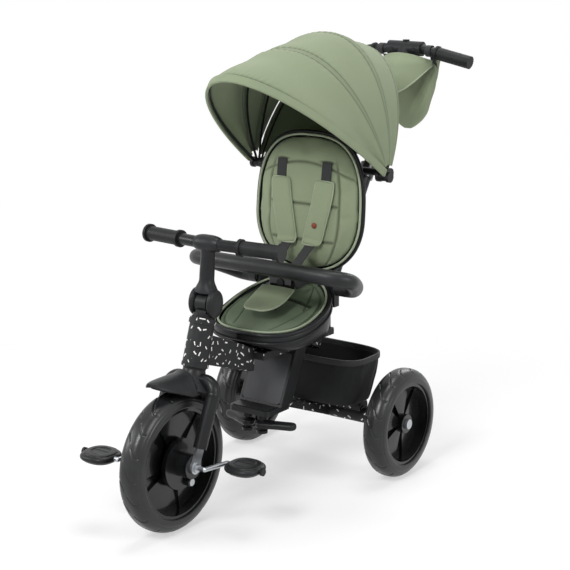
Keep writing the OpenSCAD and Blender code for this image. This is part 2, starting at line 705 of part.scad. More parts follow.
// Basket: an open fabric tub over the axle beam with a wire rim
basket_mid = (basket_rear - basket_front) / 2;
basket_len = basket_rear + basket_front;
stay_slope = (base_z - 5 - rear_r - stay_end) / (-stay_front - 18);
basket_low = rear_r + max(beam_rise + beam_r - 3, stay_end
    + stay_slope * (0.42 * basket_len - basket_mid - 12)) + seat_gap + 2;
function basket_ring(z, in) = let (f = 0.84 + 0.16 * pow((z - basket_low) / (basket_top - basket_low), 0.6))
    [for (k = [0 : 31]) let (q = super(basket_half * f - in, basket_len / 2 * f - in, 4, 360 * k / 32))
        [q[0], basket_mid + q[1], z]];
rim_z = basket_top - 9;
module basket() color("#222224") place() difference() {
    loft([for (i = [0 : 5]) basket_ring(mix(basket_low, rim_z, i / 5), 0)]);
    loft([for (i = [0 : 5]) basket_ring(mix(basket_low + basket_wall, rim_z + 1, i / 5), basket_wall)]);
}
module basket_rim() color(rubber) place() difference() {
    loft([basket_ring(rim_z + 0.05, -3), basket_ring(basket_top, -3)]);
    loft([basket_ring(rim_z - 1, basket_wall + 1), basket_ring(basket_top + 1, basket_wall + 1)]);
}

// Seat pan: a shallow oval tray that rises to the back, its sides lower than its middle line
saddle = 17;
function pan_drop(v) = saddle * pow(2 * pan_half(v) / pan_w, 2);
function pan_half(v) = pan_w / 2 * pow(1 - pow(abs(2 * v - 1) * 0.985, 2.3), 1 / 2.3);
function pan_rim(v) = seat_z + mix(pan_front_h, pan_wing_h, v) - pan_drop(v);
function pan_floor(v) = seat_z + seat_gap + 30 * pow(1 - clamp(v / 0.32), 2) + 40 * pow(clamp((v - 0.66) / 0.34), 2);
function pan_v(i, rows) = (1 - cos(180 * i / rows)) / 2;
function bucket(y, half, rim, low, n, steps) = [for (k = [0 : steps])
    let (q = super(half, rim - low, n, 180 * k / steps)) [q[0], y, rim - q[1]]];
function pan_row(v, in, low_in) = bucket(mix(pan_y0 + in, -pan_back - in, v), pan_half(v) - in,
    pan_rim(v), pan_floor(v) + low_in, 4.5, 20);
module seat_pan() color(plastic) place() {
    rows = 16;
    sheet([for (i = [0 : rows]) pan_row(pan_v(i, rows), 0, 0)], [for (i = [0 : rows])
        let (v = pan_v(i, rows), h = pan_rim(v) - pan_floor(v), wall = (i == 0 || i == rows) ? h - 2 : pan_wall)
        pan_row(v, pan_wall, wall)]);
}

// Seat cushion: a dished pad that fills the pan and stands a little above its rim
function cushion_under(v, k, steps) = bucket(mix(pan_y0 + pan_wall + 1, -pan_back - pan_wall - 1, v),
    pan_half(v) - pan_wall - 2, pan_rim(v) + 1,
    v < 0.001 || v > 0.999 ? pan_rim(v) - 1 : pan_floor(v) + pan_wall + 5, 4, steps)[k];
cushion_dish = pan_rim(0.46) + 8 + saddle - pan_floor(0.46) - pan_wall - cushion_t;
function cushion_top(v, k, steps) = let (u = cos(180 * k / steps), w = 2 * v - 1,
        edge = max(8, pan_half(v) - pan_wall - 6))
    [edge * u, mix(pan_y0 + pan_wall + 2, -pan_back - pan_wall - 4, v),
        max(pan_rim(v) + 8 - 6 * max(pow(abs(u), 8), pow(abs(w), 12)) + pan_drop(v) * (1 - u * u)
            - cushion_dish * (1 - pow(u, 4)) * (1 - pow(w, 4)), cushion_under(v, k, steps)[2] + 3)];
module seat_cushion() color(moss) place() {
    rows = 18;
    cols = 24;
    under = [for (i = [0 : rows]) [for (k = [0 : cols]) cushion_under(pan_v(i, rows), k, cols)]];
    top = [for (i = [0 : rows]) [for (k = [0 : cols]) cushion_top(pan_v(i, rows), k, cols)]];
    sheet(under, top);
}

// Ring sockets stand on the pan wall, and the foam ring lifts on their stubs
function pan_at(y) = pan_half((y - pan_y0) / pan_l);
socket_x = pan_at(-ring_y) + seat_gap;
lug_half = 9;
lug_slant = (pan_at(-ring_y - lug_half) - pan_at(-ring_y + lug_half)) / 2;
ring_end = socket_x + lug_slant + 7;
stub_r = 8;
module ring_sockets() color(plastic) at_ring() pair() {
    translate([0, 0, -42]) linear_extrude(50) polygon([[socket_x + lug_slant, -lug_half], [ring_end, -lug_half],
        [ring_end, lug_half], [socket_x - lug_slant, lug_half]]);
    rod(ring_end - 2, ring_end, ring_r - 3);
    rod(ring_end - 1, ring_end + 14, stub_r);
}
function ring_path() = let (h = ring_half, d = ring_reach, u = ring_rise, e = ring_end + 1.5,
        half = smooth([[0, -d, u], [0.36 * h, -0.99 * d, 0.99 * u], [0.66 * h, -0.95 * d, 0.96 * u],
            [0.88 * h, -0.87 * d, 0.9 * u], [h, -0.7 * d, 0.78 * u], [0.965 * h, -0.48 * d, 0.57 * u],
            [0.87 * h, -0.22 * d, 0.28 * u], [0.76 * h, -0.05 * d, 0.06 * u],
            [e + 24, 0, 0], [e + 12, 0, 0], [e, 0, 0]], 3))
    concat([for (i = [len(half) - 1 : -1 : 1]) [-half[i][0], half[i][1], half[i][2]]], half);
module safety_ring() color(rubber) at_ring() difference() {
    tube_path(ring_path(), ring_r, ring_r, unit([0, -ring_rise, -ring_reach]), 12);
    pair() rod(ring_end - 20, ring_end + 15, stub_r + 0.4);
}

// Backrest: an egg shaped dish with a hinge barrel at its foot
back_z1 = back_z0 + back_h;
wide_z = back_z0 + 0.42 * back_h;
function back_z(v) = mix(back_z0 + 2, back_z1 - 2, (1 - cos(180 * v)) / 2);
function back_half(z) = let (up = z > wide_z, q = up ? (z - wide_z) / (back_z1 - wide_z)
        : (wide_z - z) / (wide_z - back_z0), n = up ? 2.8 : 2.2)
    back_w / 2 * pow(1 - pow(q, n), 1 / n);
function back_rim(z) = -60 + (z - back_z0 - 108) * 0.077;
function dish(u, z) = let (q = 2 * (z - back_z0) / back_h - 1)
    back_rim(z) + back_depth * (1 - pow(abs(u), 3)) * (1 - pow(abs(q), 4));
module backrest_shell() color(plastic) difference() {
    rows = 20;
    union() {
        place() sheet([for (i = [0 : rows]) let (z = back_z(i / rows)) [for (j = [-8 : 8])
                let (u = j / 8) [back_half(z) * u, dish(u, z) + shell_t, z]]],
            [for (i = [0 : rows]) let (z = back_z(i / rows)) [for (j = [-8 : 8])
                let (u = j / 8) [back_half(z) * u, dish(u, z), z]]]);
        at_recline() rod(-lug_x + side_gap, lug_x - side_gap, barrel_r);
        at_recline() box(-26, 26, -8, 3, 0, back_z0 + 22 - recline_z);
    }
    at_recline() rod(-lug_x, lug_x, pin_r + run);
    at_recline() pair() rod(lug_x - side_gap / 2, lug_x + 14, barrel_r + 2 + seat_gap);
}
module recline_pin() color(zinc) at_recline() {
    rod(-lug_x - 10.3, lug_x + 10.3, pin_r);
    pair() rod(lug_x + 10.3, lug_x + 13, pin_r + 3);
}

// Back pad: crowned, drawn in at its edge, with side seams, an arch seam and channels
function pad_smooth(u, z) = let (q = 2 * (z - back_z0) / back_h - 1)
    back_rim(z) - 5 - pad_crown * (1 - pow(abs(u), 3)) * (1 - pow(abs(q), 5));
function pad_front(u, z) = let (q = (z - back_z0) / back_h, arch = q - 0.78 + 0.1 * u * u)
    pad_smooth(u, z) + 5 * (groove(abs(u), 0.64, 0.09) * ease(0.86, 0.74, q) + groove(arch, 0, 0.03))
    + 4 * (1 - abs(u)) * (groove(q, 0.24, 0.03) + groove(q, 0.5, 0.03));
pad_in = 0.965;
module backrest_pad() color(sage) place() {
    rows = 26;
    cols = 10;
    sheet([for (i = [0 : rows]) let (z = back_z(i / rows)) [for (j = [-cols : cols])
            let (u = j / cols) [back_half(z) * u * pad_in, dish(u * pad_in, z) - 0.6, z]]],
        [for (i = [0 : rows]) let (z = back_z(i / rows)) [for (j = [-cols : cols])
            let (u = j / cols) [back_half(z) * u * pad_in, pad_front(u, z), z]]]);
}

// Shoulder pads with their strap tails, the buckle they meet in, and the lap straps
buckle_z = seat_z + 124;
buckle_y = -pan_back - 82;
strap_top = back_z0 + 0.81 * back_h;
function strap_x(v) = mix(26, 59, ease(0, 0.9, v));
function strap_pad(v) = ease(0.2, 0.29, v) * ease(0.88, 0.8, v);
function strap_row(v, out) = let (z = mix(buckle_z + 20, strap_top, v), lead = ease(0.3, 0, v),
        half = mix(12, 25, strap_pad(v)), thick = mix(2.4, 10, strap_pad(v)))
    [for (j = [-4 : 4]) let (s = j / 4, x = strap_x(v) + half * s, u = clamp(x / back_half(z)))
        [x, mix(pad_smooth(u, z) - seat_gap, buckle_y + 2, lead)
            - (out ? thick * (1 - 0.45 * pow(s, 4)) : 0), z]];
module shoulder_pads() color(sage) place() pair() {
    rows = 18;
    sheet([for (i = [0 : rows]) strap_row(i / rows, true)],
        [for (i = [0 : rows]) strap_row(i / rows, false)]);
}
module buckle() color(gloss) place() difference() {
    translate([0, buckle_y + 6, buckle_z]) rotate([90, 0, 0]) slab(56, 38, 14, 12);
    translate([0, buckle_y - 0.8, buckle_z]) rotate([90, 0, 0]) cylinder(r = 9 + run, h = 12);
}
module buckle_button() color(plastic) place() translate([0, buckle_y - 4, buckle_z]) rotate([90, 0, 0])
    cylinder(r = 9, h = 7);
module lap_straps() color(moss) place() {
    low = pan_floor(0.4) + pan_wall + cushion_t;
    ends = [[0, pan_y0 + 52, low + 16], [0, pan_y0 + 78, low + 20], [0, pan_y0 + 109, low + 30],
        [0, buckle_y - 16, buckle_z - 10]];
    tube_path(smooth(ends, 5), 3, 26, [1, 0, 0], 12);
    tube_path([[0, pan_y0 + 118, cushion_top(0.491, 12, 24)[2] + 0.8], [0, pan_y0 + 111, low + 30]],
        1.8, 13, [1, 0, 0], 8);
    side = [[74, -52, 436], [70, -84, 451], [58, -112, 455], [45, buckle_y + 14, buckle_z + 4],
        [32, buckle_y, buckle_z - 2]];
    pair() tube_path(smooth(side, 4), 1.6, 11, unit([0.45, 0.35, 0.9]), 8);
}

// Canopy pivots on a bracket behind the backrest; four bow eyes stack on each pivot pin
eye_t = 3.6;
eye_step = eye_t + 0.6;
knob_x = hub_x + 4 * eye_step;
bar_back = 40;
function shell_back() = dish(0, canopy_z) + shell_t;
module canopy_bracket() color(plastic) at_canopy() {
    translate([0, bar_back, 0]) rod(-hub_x + 1, hub_x - 1, 8);
    pair() translate([hub_x - 8 - seat_gap, 0, 0]) rotate([90, 0, 90]) linear_extrude(8) {
        circle(12);
        translate([bar_back, 0]) circle(12);
        translate([0, -12]) square([bar_back, 24]);
    }
    pair() rod(hub_x - 4, knob_x + 5, pin_r);
    box(-32, 32, shell_back() + canopy_y + seat_gap, bar_back, -20, 20);
}
module canopy_knobs() color(plastic) at_canopy() pair() difference() {
    rod(knob_x + 0.2, knob_x + 7.5, 12);
    rod(knob_x - 1, knob_x + 5.5, pin_r + run);
}

// Bow strip: a superellipse arch in a plane that leans forward by angle a
function bow_point(half, radius, n, a, t) = let (q = super(half, radius, n, t))
    [q[0], -q[1] * sin(a), q[1] * cos(a)];
bow_angles = [-27, -4, 25, 55];
bow_powers = [2.15, 2.2, 2.2, 1.95];
bow_radii = [bow_r, bow_r, bow_r, visor_r];
module bow(i) color(rubber) at_canopy() difference() {
    x = hub_x + i * eye_step;
    half = x + eye_t / 2;
    union() {
        pair() rod(x, x + eye_t, 10);
        tube_path([for (k = [0 : 32]) bow_point(half, bow_radii[i], bow_powers[i], bow_angles[i],
            let (s = k / 32) 180 * s - 4 * sin(360 * s))], bow_t / 2, bow_w / 2,
            [0, -cos(bow_angles[i]), -sin(bow_angles[i])], 8);
    }
    pair() rod(hub_x - 1, knob_x + 1, pin_r + run);
}
module bow_rear() bow(0);
module bow_back() bow(1);
module bow_mid() bow(2);
module bow_front() bow(3);

// Canopy cloth: one sheet over the bows that dips a little between them
cloth_half = knob_x + 2.5;
function lerp_table(x, xs, ys, i = 0) = i >= len(xs) - 2 || x <= xs[i + 1]
    ? mix(ys[i], ys[i + 1], (x - xs[i]) / (xs[i + 1] - xs[i])) : lerp_table(x, xs, ys, i + 1);
function cloth_dip(a, t) = (6 + 8 * ease(25, 32, a) * (1 + pow(cos(t), 2)))
    * pow(sin(180 * lerp_table(a, bow_angles, [0, 1, 2, 3])), 2);
function cloth_row(a, out) = let (radius = lerp_table(a, bow_angles, bow_radii) + bow_t / 2 + 3 + out,
        n = lerp_table(a, bow_angles, bow_powers))
    [for (k = [0 : 26]) let (t = mix(4, 176, k / 26), dip = cloth_dip(a, t))
        bow_point(cloth_half + out - 0.3 * dip, radius - dip, n, a, t)];
module canopy_cloth() color(sage) at_canopy() {
    rows = 22;
    sheet([for (i = [0 : rows]) cloth_row(mix(bow_angles[0], bow_angles[3], i / rows), cloth_t)],
        [for (i = [0 : rows]) cloth_row(mix(bow_angles[0], bow_angles[3], i / rows), 0)]);
}

// Rear drop: a flat panel of cloth inside the rear bow, open behind the backrest
function drop_row(s, out) = [for (k = [0 : 20]) let (a = bow_angles[0])
    bow_point(hub_x - 7, mix(0.36 * bow_r, bow_r - bow_t - 2, s), bow_powers[0], a, mix(12, 168, k / 20))
    + out * [0, cos(a), -sin(a)]];
module canopy_drop() color(moss) at_canopy() sheet([for (i = [0 : 4]) drop_row(i / 4, cloth_t / 2)],
    [for (i = [0 : 4]) drop_row(i / 4, -cloth_t / 2)]);

// Parent handle: a lower tube in the frame socket and a slider that carries the push bar
slider_low = 230;
collar_s = post_low - 16;
neck_s = post_len - 58;
module post_lower() color(plastic) at_post() difference() {
    translate([0, 0, 0.2 - post_foot]) cylinder(r = post_r, h = post_low + post_foot);
    translate([0, 0, 100]) cylinder(r = slider_r + run, h = post_low);
}
module post_collar() color(gloss) at_post() difference() {
    translate([0, 0, collar_s]) cylinder(r = post_r + 4, h = 34);
    translate([0, 0, collar_s - 1]) cylinder(r = post_r + 0.1, h = 17 + seat_gap);
    translate([0, 0, collar_s]) cylinder(r = slider_r + run, h = 40);
}
module post_upper() color(rubber) at_post() difference() {
    translate([0, 0, slider_low]) cylinder(r = slider_r, h = post_len - 9 - slider_low);
    translate([0, 0, slider_low - 1]) cylinder(r = slider_r - 2, h = post_len - 20 - slider_low);
}
push_tilt = atan(push_droop / (push_half - housing_half));
push_run = norm([push_droop, push_half - housing_half]);
module at_wing() at_push() pair() translate([housing_half, 0, 0]) rotate([0, push_tilt, 0]) children();
button_r = 8;
module push_bar() color(plastic) difference() {
    union() {
        at_push() rod(-housing_half, housing_half, housing_r);
        at_post() translate([0, 0, neck_s]) cylinder(r = slider_r + 5, h = post_len - neck_s);
        at_wing() {
            sphere(push_r);
            rod(0, push_run - 4, push_r);
        }
        at_push() pair() translate([30, 0, 0]) rotate([90, 0, 0]) cylinder(r = 4, h = housing_r + 1);
    }
    at_post() translate([0, 0, neck_s - 1]) cylinder(r = slider_r + 0.1, h = post_len - neck_s - 7.5);
    at_push() translate([0, 0, housing_r - 9]) cylinder(r = button_r + run, h = 12);
}
module push_button() color(gloss) at_push() translate([0, 0, housing_r - 5]) cylinder(r = button_r, h = 8);
push_grip = 92;
module push_grips() color(rubber) at_wing() difference() {
    union() {
        rod(push_run - push_grip, push_run, push_r + 4);
        rod(push_run - push_grip, push_run - push_grip + 6, push_r + 6);
    }
    rod(push_run - push_grip - 1, push_run - 3, push_r + 0.1);
}

// Parent bag: a soft pouch that hangs behind the post from two loops round the bar
loop_x = 20;
bag_top = push_z - push_r - 17;
function bag_ring(v) = let (f = pow(sin(90 * clamp(v * 1.6 + 0.06)), 0.5), w = mix(0.3, 1, pow(v, 0.8)) * bag_half,
        d = bag_d / 2 * (0.5 + 0.5 * sin(180 * clamp(0.15 + v * 0.75))) * f)
    [for (k = [0 : 27]) let (q = super(w * f, d, 3, 360 * k / 28))
        [q[0], bag_y + bag_d / 2 + q[1], bag_top - bag_h * (1 - v)]];
module parent_bag() color(sage) {
    place() loft([for (i = [0 : 12]) bag_ring(i / 12)]);
    at_wing() translate([loop_x, 0, 0]) difference() {
        union() {
            rod(-7, 7, push_r + 2.2);
            box(-7, 7, 8.5, 13, -42, 0);
            box(-7, 7, 8.5, 28, -42, -37);
        }
        rod(-8, 8, push_r + 0.2);
    }
}

main_frame();
head_bushes();
pedestal_housing();
pedestal_panel();
pedestal_base();
footrest_pivots();
footrest_left();
footrest_right();
rear_frame();
rear_axle();
axle_caps();
brake_left();
brake_right();
basket();
basket_rim();
seat_pan();
seat_cushion();
lap_straps();
ring_sockets();
safety_ring();
recline_pin();
backrest_shell();
backrest_pad();
shoulder_pads();
buckle();
buckle_button();
canopy_bracket();
canopy_knobs();
bow_rear();
bow_back();
bow_mid();
bow_front();
canopy_cloth();
canopy_drop();
fork();
dropouts();
fender();
knuckle_base();
knuckle_pin();
stem();
handlebar();
handlebar_grips();
front_rim();
front_tyre();
clutch_pin();
crank();
pedal_nuts();
pedal_left();
pedal_right();
rear_rim_left();
rear_tyre_left();
rear_rim_right();
rear_tyre_right();
post_lower();
post_collar();
post_upper();
push_bar();
push_grips();
push_button();
parent_bag();
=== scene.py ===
# %% [markdown]
# # A toddler push along trike, dressed around its imported solids
# The solids already stand in one shared frame, in metres, and every one of them rides on a body.
# This lesson adds what solids can't show: sewn cloth, foam, tyre tread and the finish of each material.

# %% Load the frame
import math

import bmesh
import bpy
import numpy as np
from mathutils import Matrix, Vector


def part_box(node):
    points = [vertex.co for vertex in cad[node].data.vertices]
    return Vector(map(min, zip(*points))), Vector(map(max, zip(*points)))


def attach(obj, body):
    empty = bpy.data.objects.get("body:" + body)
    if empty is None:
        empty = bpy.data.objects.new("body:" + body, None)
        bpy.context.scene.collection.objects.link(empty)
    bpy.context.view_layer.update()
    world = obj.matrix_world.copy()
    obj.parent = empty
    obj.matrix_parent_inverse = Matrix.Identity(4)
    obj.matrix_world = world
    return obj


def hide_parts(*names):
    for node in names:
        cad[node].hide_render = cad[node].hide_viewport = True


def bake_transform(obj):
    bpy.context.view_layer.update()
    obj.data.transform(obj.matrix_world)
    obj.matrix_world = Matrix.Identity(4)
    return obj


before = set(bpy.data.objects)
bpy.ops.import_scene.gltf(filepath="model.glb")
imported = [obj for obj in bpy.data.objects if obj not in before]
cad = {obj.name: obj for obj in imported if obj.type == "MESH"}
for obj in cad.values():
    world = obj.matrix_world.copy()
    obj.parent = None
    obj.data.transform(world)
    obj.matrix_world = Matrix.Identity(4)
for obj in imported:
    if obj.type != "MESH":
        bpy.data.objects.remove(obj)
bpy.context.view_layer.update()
scene = bpy.context.scene

# %% [markdown]
# ## Camera
# The photograph was taken from the front left of the rider, a little above the seat.
# A long lens gives its gentle perspective. The camera is placed by a point to stand at and a point to look at.

# %% Camera
def stand(thing, spot, target):
    """Put a camera or a lamp at a spot and turn it to a target; both look along their own -Z."""
    thing.location = spot
    thing.rotation_euler = (Vector(target) - thing.location).to_track_quat("-Z", "Y").to_euler()
    scene.collection.objects.link(thing)


lens = bpy.data.cameras.new("photo_lens")
lens.lens, lens.sensor_width, lens.clip_end = 96.08, 36, 100
camera = bpy.data.objects.new("photo_camera", lens)
stand(camera, (1.88106, -2.60497, 1.21575), (-0.1028, 0.13831, 0.3922))
scene.camera = camera
scene.view_settings.view_transform = "Standard"
print("camera stands at", [round(x, 2) for x in camera.location])

# %% [markdown]
# ## Shapes as arrays
# Every new piece is a grid of points worked out with numpy, a function of two parameters.
# All sizes below are millimetres measured from the rear axle, as in the solids, and one helper moves them to metres.
# A small set of curves is enough: a smooth step, a sewn groove and the superellipse, a circle squared off by its power.

# %% Curves and grids
axle_y = sum(corner[1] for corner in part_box("rear_axle")) / 2


def metres(points):
    """Millimetres from the rear axle to the frame: divide by a thousand, then move to the axle."""
    return np.asarray(points, float) * 0.001 + np.array([0.0, axle_y, 0.0])


def mix(a, b, t):
    """Straight line from a at t = 0 to b at t = 1."""
    return a + (b - a) * t


def ease(a, b, x):
    """Smooth step: 0 at a, 1 at b, level at both ends, 3q squared minus 2q cubed."""
    q = np.clip((x - a) / (b - a), 0, 1)
    return q * q * (3 - 2 * q)


def groove(x, at, width):
    """Bell curve exp of minus ((x - at) / width) squared, for a sewn line."""
    return np.exp(-(((x - at) / width) ** 2))


def spow(x, p):
    """Power that keeps the sign of x."""
    return np.sign(x) * np.abs(x) ** p


def full_turn(count):
    """Angles round a circle; the last stops one step short of the first."""
    return np.linspace(0, 2 * np.pi, count, endpoint=False)


def field(rows, cols):
    """Two parameters over a grid: the first changes down the rows, the second along the columns."""
    return np.meshgrid(rows, cols, indexing="ij")


def lattice(ids):
    """Four corners of every cell in a grid of point numbers."""
    return np.stack([ids[:-1, :-1], ids[:-1, 1:], ids[1:, 1:], ids[1:, :-1]], -1).reshape(-1, 4)


def looped(ids):
    """The grid of point numbers with its first column again at its end, so that the columns close."""
    return np.concatenate([ids, ids[:, :1]], 1)


def stack(*parts):
    """Several axes of one grid as points."""
    return np.stack(np.broadcast_arrays(*parts), -1)


def unit(v):
    """Vectors at length one."""
    return v / np.maximum(np.linalg.norm(v, axis=-1, keepdims=True), 1e-12)


def along(path):
    """Length run from the start of a path to each of its points."""
    return np.concatenate([[0], np.cumsum(np.linalg.norm(np.diff(path, axis=0), axis=-1))])


def through(points, count):
    """Smooth line through points, a Catmull-Rom spline: each stretch is the cubic whose slope at a point
    is half the step between its neighbours."""
    p = np.asarray(points, float)
    p = np.concatenate([[2 * p[0] - p[1]], p, [2 * p[-1] - p[-2]]])
    t = np.linspace(0, len(p) - 3, count)
    i = np.minimum(t.astype(int), len(p) - 4)
    f = (t - i)[:, None]
    a, b, c, d = p[i], p[i + 1], p[i + 2], p[i + 3]
    return 0.5 * (2 * b + (c - a) * f + (2 * a - 5 * b + 4 * c - d) * f ** 2 + (3 * b - a - 3 * c + d) * f ** 3)


def oval(wide, deep, p=1.0, q=None, count=40):
    """Closed sections: half width wide times cos to the power p, half depth deep times sin to the power q."""
    t = full_turn(count)
    q = p if q is None else q
    wide, deep = np.asarray(wide)[..., None], np.asarray(deep)[..., None]
    return stack(wide * spow(np.cos(t), p), deep * spow(np.sin(t), q))


def circle(radius, count):
    """Round section."""
    return oval(radius, radius, count=count)


def strap_section(half, thick):
    """Flat section with round edges: a superellipse of power six."""
    return oval(half, thick / 2, 1 / 3, count=24)


# %% From arrays to a mesh
def read(thing, what="co"):
    """Every point of a mesh, or every normal, as an array."""
    values = np.empty(len(thing.data.vertices) * 3)
    thing.data.vertices.foreach_get(what, values)
    return values.reshape(-1, 3)


def write(thing, points):
    """Move the points of a mesh."""
    thing.data.vertices.foreach_set("co", points.astype(np.float32).ravel())
    thing.data.update()


def mark(thing, share):
    """Store how much painted seam shade each point gets."""
    thing.data.attributes.new("seam_shade", "FLOAT", "POINT").data.foreach_set("value", np.asarray(share, np.float32))


def round_off(mesh):
    """Smooth shading on every face."""
    mesh.polygons.foreach_set("use_smooth", np.ones(len(mesh.polygons), bool))


def make(name, points, quads, cloth=None):
    """One object from points in metres and quads; doubles merge, faces point outwards.
    cloth holds a place on the cut cloth for every point, in metres, and becomes the UV map."""
    mesh = bpy.data.meshes.new(name)
    mesh.from_pydata(points.reshape(-1, 3).tolist(), [], quads.tolist())
    if cloth is not None:
        corner = np.empty(len(mesh.loops), np.int32)
        mesh.loops.foreach_get("vertex_index", corner)
        layer = mesh.uv_layers.new(name="cloth")
        layer.data.foreach_set("uv", cloth.reshape(-1, 2)[corner].astype(np.float32).ravel())
    work = bmesh.new()
    work.from_mesh(mesh)
    bmesh.ops.remove_doubles(work, verts=work.verts, dist=1e-6)
    bmesh.ops.dissolve_degenerate(work, edges=work.edges, dist=1e-7)
    bmesh.ops.recalc_face_normals(work, faces=work.faces)
    work.to_mesh(mesh)
    work.free()
    round_off(mesh)
    mesh.update()
    thing = bpy.data.objects.new(name, mesh)
    scene.collection.objects.link(thing)
    print(name, len(mesh.polygons), "faces")
    return thing


def skin(name, face, back, wrap=False, cloth=None):
    """Closed sheet: a face grid, a back grid of the same shape, and a wall along every open edge."""
    rows, cols = face.shape[:2]
    count = rows * cols
    ids = np.arange(count).reshape(rows, cols)
    grid = looped(ids) if wrap else ids
    edges = [grid[0], grid[-1, ::-1]] + ([] if wrap else [grid[::-1, 0], grid[:, -1]])
    walls = [np.stack([e[:-1], e[1:], e[1:] + count, e[:-1] + count], -1) for e in edges]
    quads = np.concatenate([lattice(grid), lattice(grid)[:, ::-1] + count, *walls])
    both = None if cloth is None else np.concatenate([cloth.reshape(-1, 2)] * 2)
    return make(name, np.concatenate([face.reshape(-1, 3), back.reshape(-1, 3)]), quads, both)


def tube(name, grid, cloth=None, loop=False):
    """Surface of a grid whose columns close on themselves, and with loop its rows too."""
    ids = looped(np.arange(grid.size // 3).reshape(grid.shape[:2]))
    return make(name, grid, lattice(np.concatenate([ids, ids[:1]]) if loop else ids), cloth)


def shut(grid, lift=0.0):
    """The grid with one row more at each end, gathered in the middle of that end; lift raises the last."""
    first, last = grid[:1].mean(1, keepdims=True), grid[-1:].mean(1, keepdims=True) + [0, 0, lift]
    return np.concatenate([np.broadcast_to(first, grid[:1].shape), grid, np.broadcast_to(last, grid[:1].shape)])


def carry(path, section, across, loop=False):
    """A flat section carried along a path: point = path + first * side + second * up,
    where side is across made square to the path and up stands on both."""
    t = unit(np.roll(path, -1, 0) - np.roll(path, 1, 0) if loop else np.gradient(path, axis=0))
    across = np.broadcast_to(across, t.shape)
    side = unit(across - (across * t).sum(-1, keepdims=True) * t)
    up = np.cross(t, side)
    section = np.broadcast_to(section, (len(path),) + np.shape(section)[-2:])
    return path[:, None] + section[..., :1] * side[:, None] + section[..., 1:] * up[:, None]


def rod(name, path, section, across=(1, 0, 0), loop=False):
    """Solid of a closed section carried along a path; open ends are shut by a fan to their middle."""
    grid = carry(path, section, np.asarray(across, float), loop)
    grid = np.concatenate([grid, grid[:1]]) if loop else shut(grid)
    girth = np.linspace(0, 1, grid.shape[1]) * np.linalg.norm(np.diff(grid[1], axis=0), axis=-1).sum()
    return tube(name, grid, stack(girth[None], along(grid.mean(1))[:, None]))


def ride(thing, body, finish, slot, *stands_for):
    """Give a piece its body, its finish and the solids that it stands for."""
    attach(thing, body)
    thing.data.materials.clear()
    thing.data.materials.append(finish)
    if stands_for:
        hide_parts(*stands_for)
    return thing


print("rear axle at y =", round(axle_y, 4))

# %% [markdown]
# ## Finishes as sums
# A finish is a small network of nodes. Writing it as Python sums keeps it readable: one class wraps a socket,
# and plus, minus and times add the Math nodes. Only values that change over the surface are linked,
# and they feed colour, roughness and bump. Anything constant is set on the shader itself.

# %% The finish and its values
class Value:
    """A number that changes over a surface: one node socket that can be used in sums."""

    def __init__(self, network, socket):
        self.network, self.socket = network, socket

    def math(self, operation, *terms):
        return self.network.node("Math", {"operation": operation}, dict(enumerate(terms)))

    def __add__(self, other): return self.math("ADD", self, other)
    def __sub__(self, other): return self.math("SUBTRACT", self, other)
    def __rsub__(self, other): return self.math("SUBTRACT", other, self)
    def __mul__(self, other): return self.math("MULTIPLY", self, other)
    def __lt__(self, other): return self.math("LESS_THAN", self, other)
    def __gt__(self, other): return self.math("GREATER_THAN", self, other)
    def __abs__(self): return self.math("ABSOLUTE", self)
    __radd__, __rmul__ = __add__, __mul__

    def sin(self): return self.math("SINE", self)

    def step(self, a, b):
        """Smooth step of this value from a to b."""
        return self.network.node("MapRange", {"interpolation_type": "SMOOTHSTEP"}, {0: self, 1: a, 2: b})


def linear(colour):
    """A hex colour as linear light: each channel to the power 2.4 after a small offset, with a linear toe."""
    c = np.array([int(colour[i:i + 2], 16) for i in (1, 3, 5)]) / 255
    return np.array([*np.where(c <= 0.04045, c / 12.92, ((c + 0.055) / 1.055) ** 2.4), 1.0])


class Network:
    """A tree of shader nodes, and one method that adds any node."""

    def __init__(self, tree):
        self.tree = tree

    def put(self, socket, value):
        if isinstance(value, Value):
            self.tree.links.new(value.socket, socket)
        else:
            socket.default_value = value

    def node(self, kind, settings=None, sockets=None, out=0):
        """Add a node, set it, feed its sockets, and give one output; for a tuple of outputs, all of them."""
        made = self.tree.nodes.new("ShaderNode" + kind)
        for key, value in (settings or {}).items():
            setattr(made, key, value)
        for key, value in (sockets or {}).items():
            self.put(made.inputs[key], value)
        if isinstance(out, tuple):
            return [Value(self, made.outputs[key]) for key in out]
        return Value(self, made.outputs[out])

    def seen(self):
        """One for rays from the camera, off a gloss or through glass, and nought for the rest."""
        ray, *others = self.node("LightPath", out=("Is Camera Ray", "Is Glossy Ray", "Is Transmission Ray"))
        for other in others:
            ray = ray.math("MAXIMUM", ray, other)
        return ray


class Finish(Network):
    """A material with a Principled shader."""

    def __init__(self, name, **constants):
        self.material = bpy.data.materials.new(name)
        self.material.use_nodes = True
        super().__init__(self.material.node_tree)
        self.shader = self.tree.nodes["Principled BSDF"]
        self.shade(**constants)

    def shade(self, **links):
        for key, value in links.items():
            self.put(self.shader.inputs[key.replace("_", " ")], value)
        return self.material

    def place(self, output="Object"):
        return self.node("TexCoord", out=output)

    def noise(self, where, scale, detail=2.0):
        return self.node("TexNoise", None, {"Vector": where, "Scale": scale, "Detail": detail})

    def axes(self, where):
        return self.node("SeparateXYZ", None, {0: where}, (0, 1, 2))

    def vector(self, operation, *terms, out=0):
        return self.node("VectorMath", {"operation": operation}, dict(enumerate(terms)), out)

    def tint(self, low, high, share):
        return self.node("Mix", {"data_type": "RGBA"}, {0: share, 6: low, 7: high}, 2)

    def tones(self, colour, low, high, share):
        """A colour that wanders between two shares of itself."""
        return self.tint(tuple(linear(colour) * low), tuple(linear(colour) * high), share)

    def bump(self, height, distance, strength=1.0):
        return self.node("Bump", None, {"Height": height, "Distance": distance, "Strength": strength})


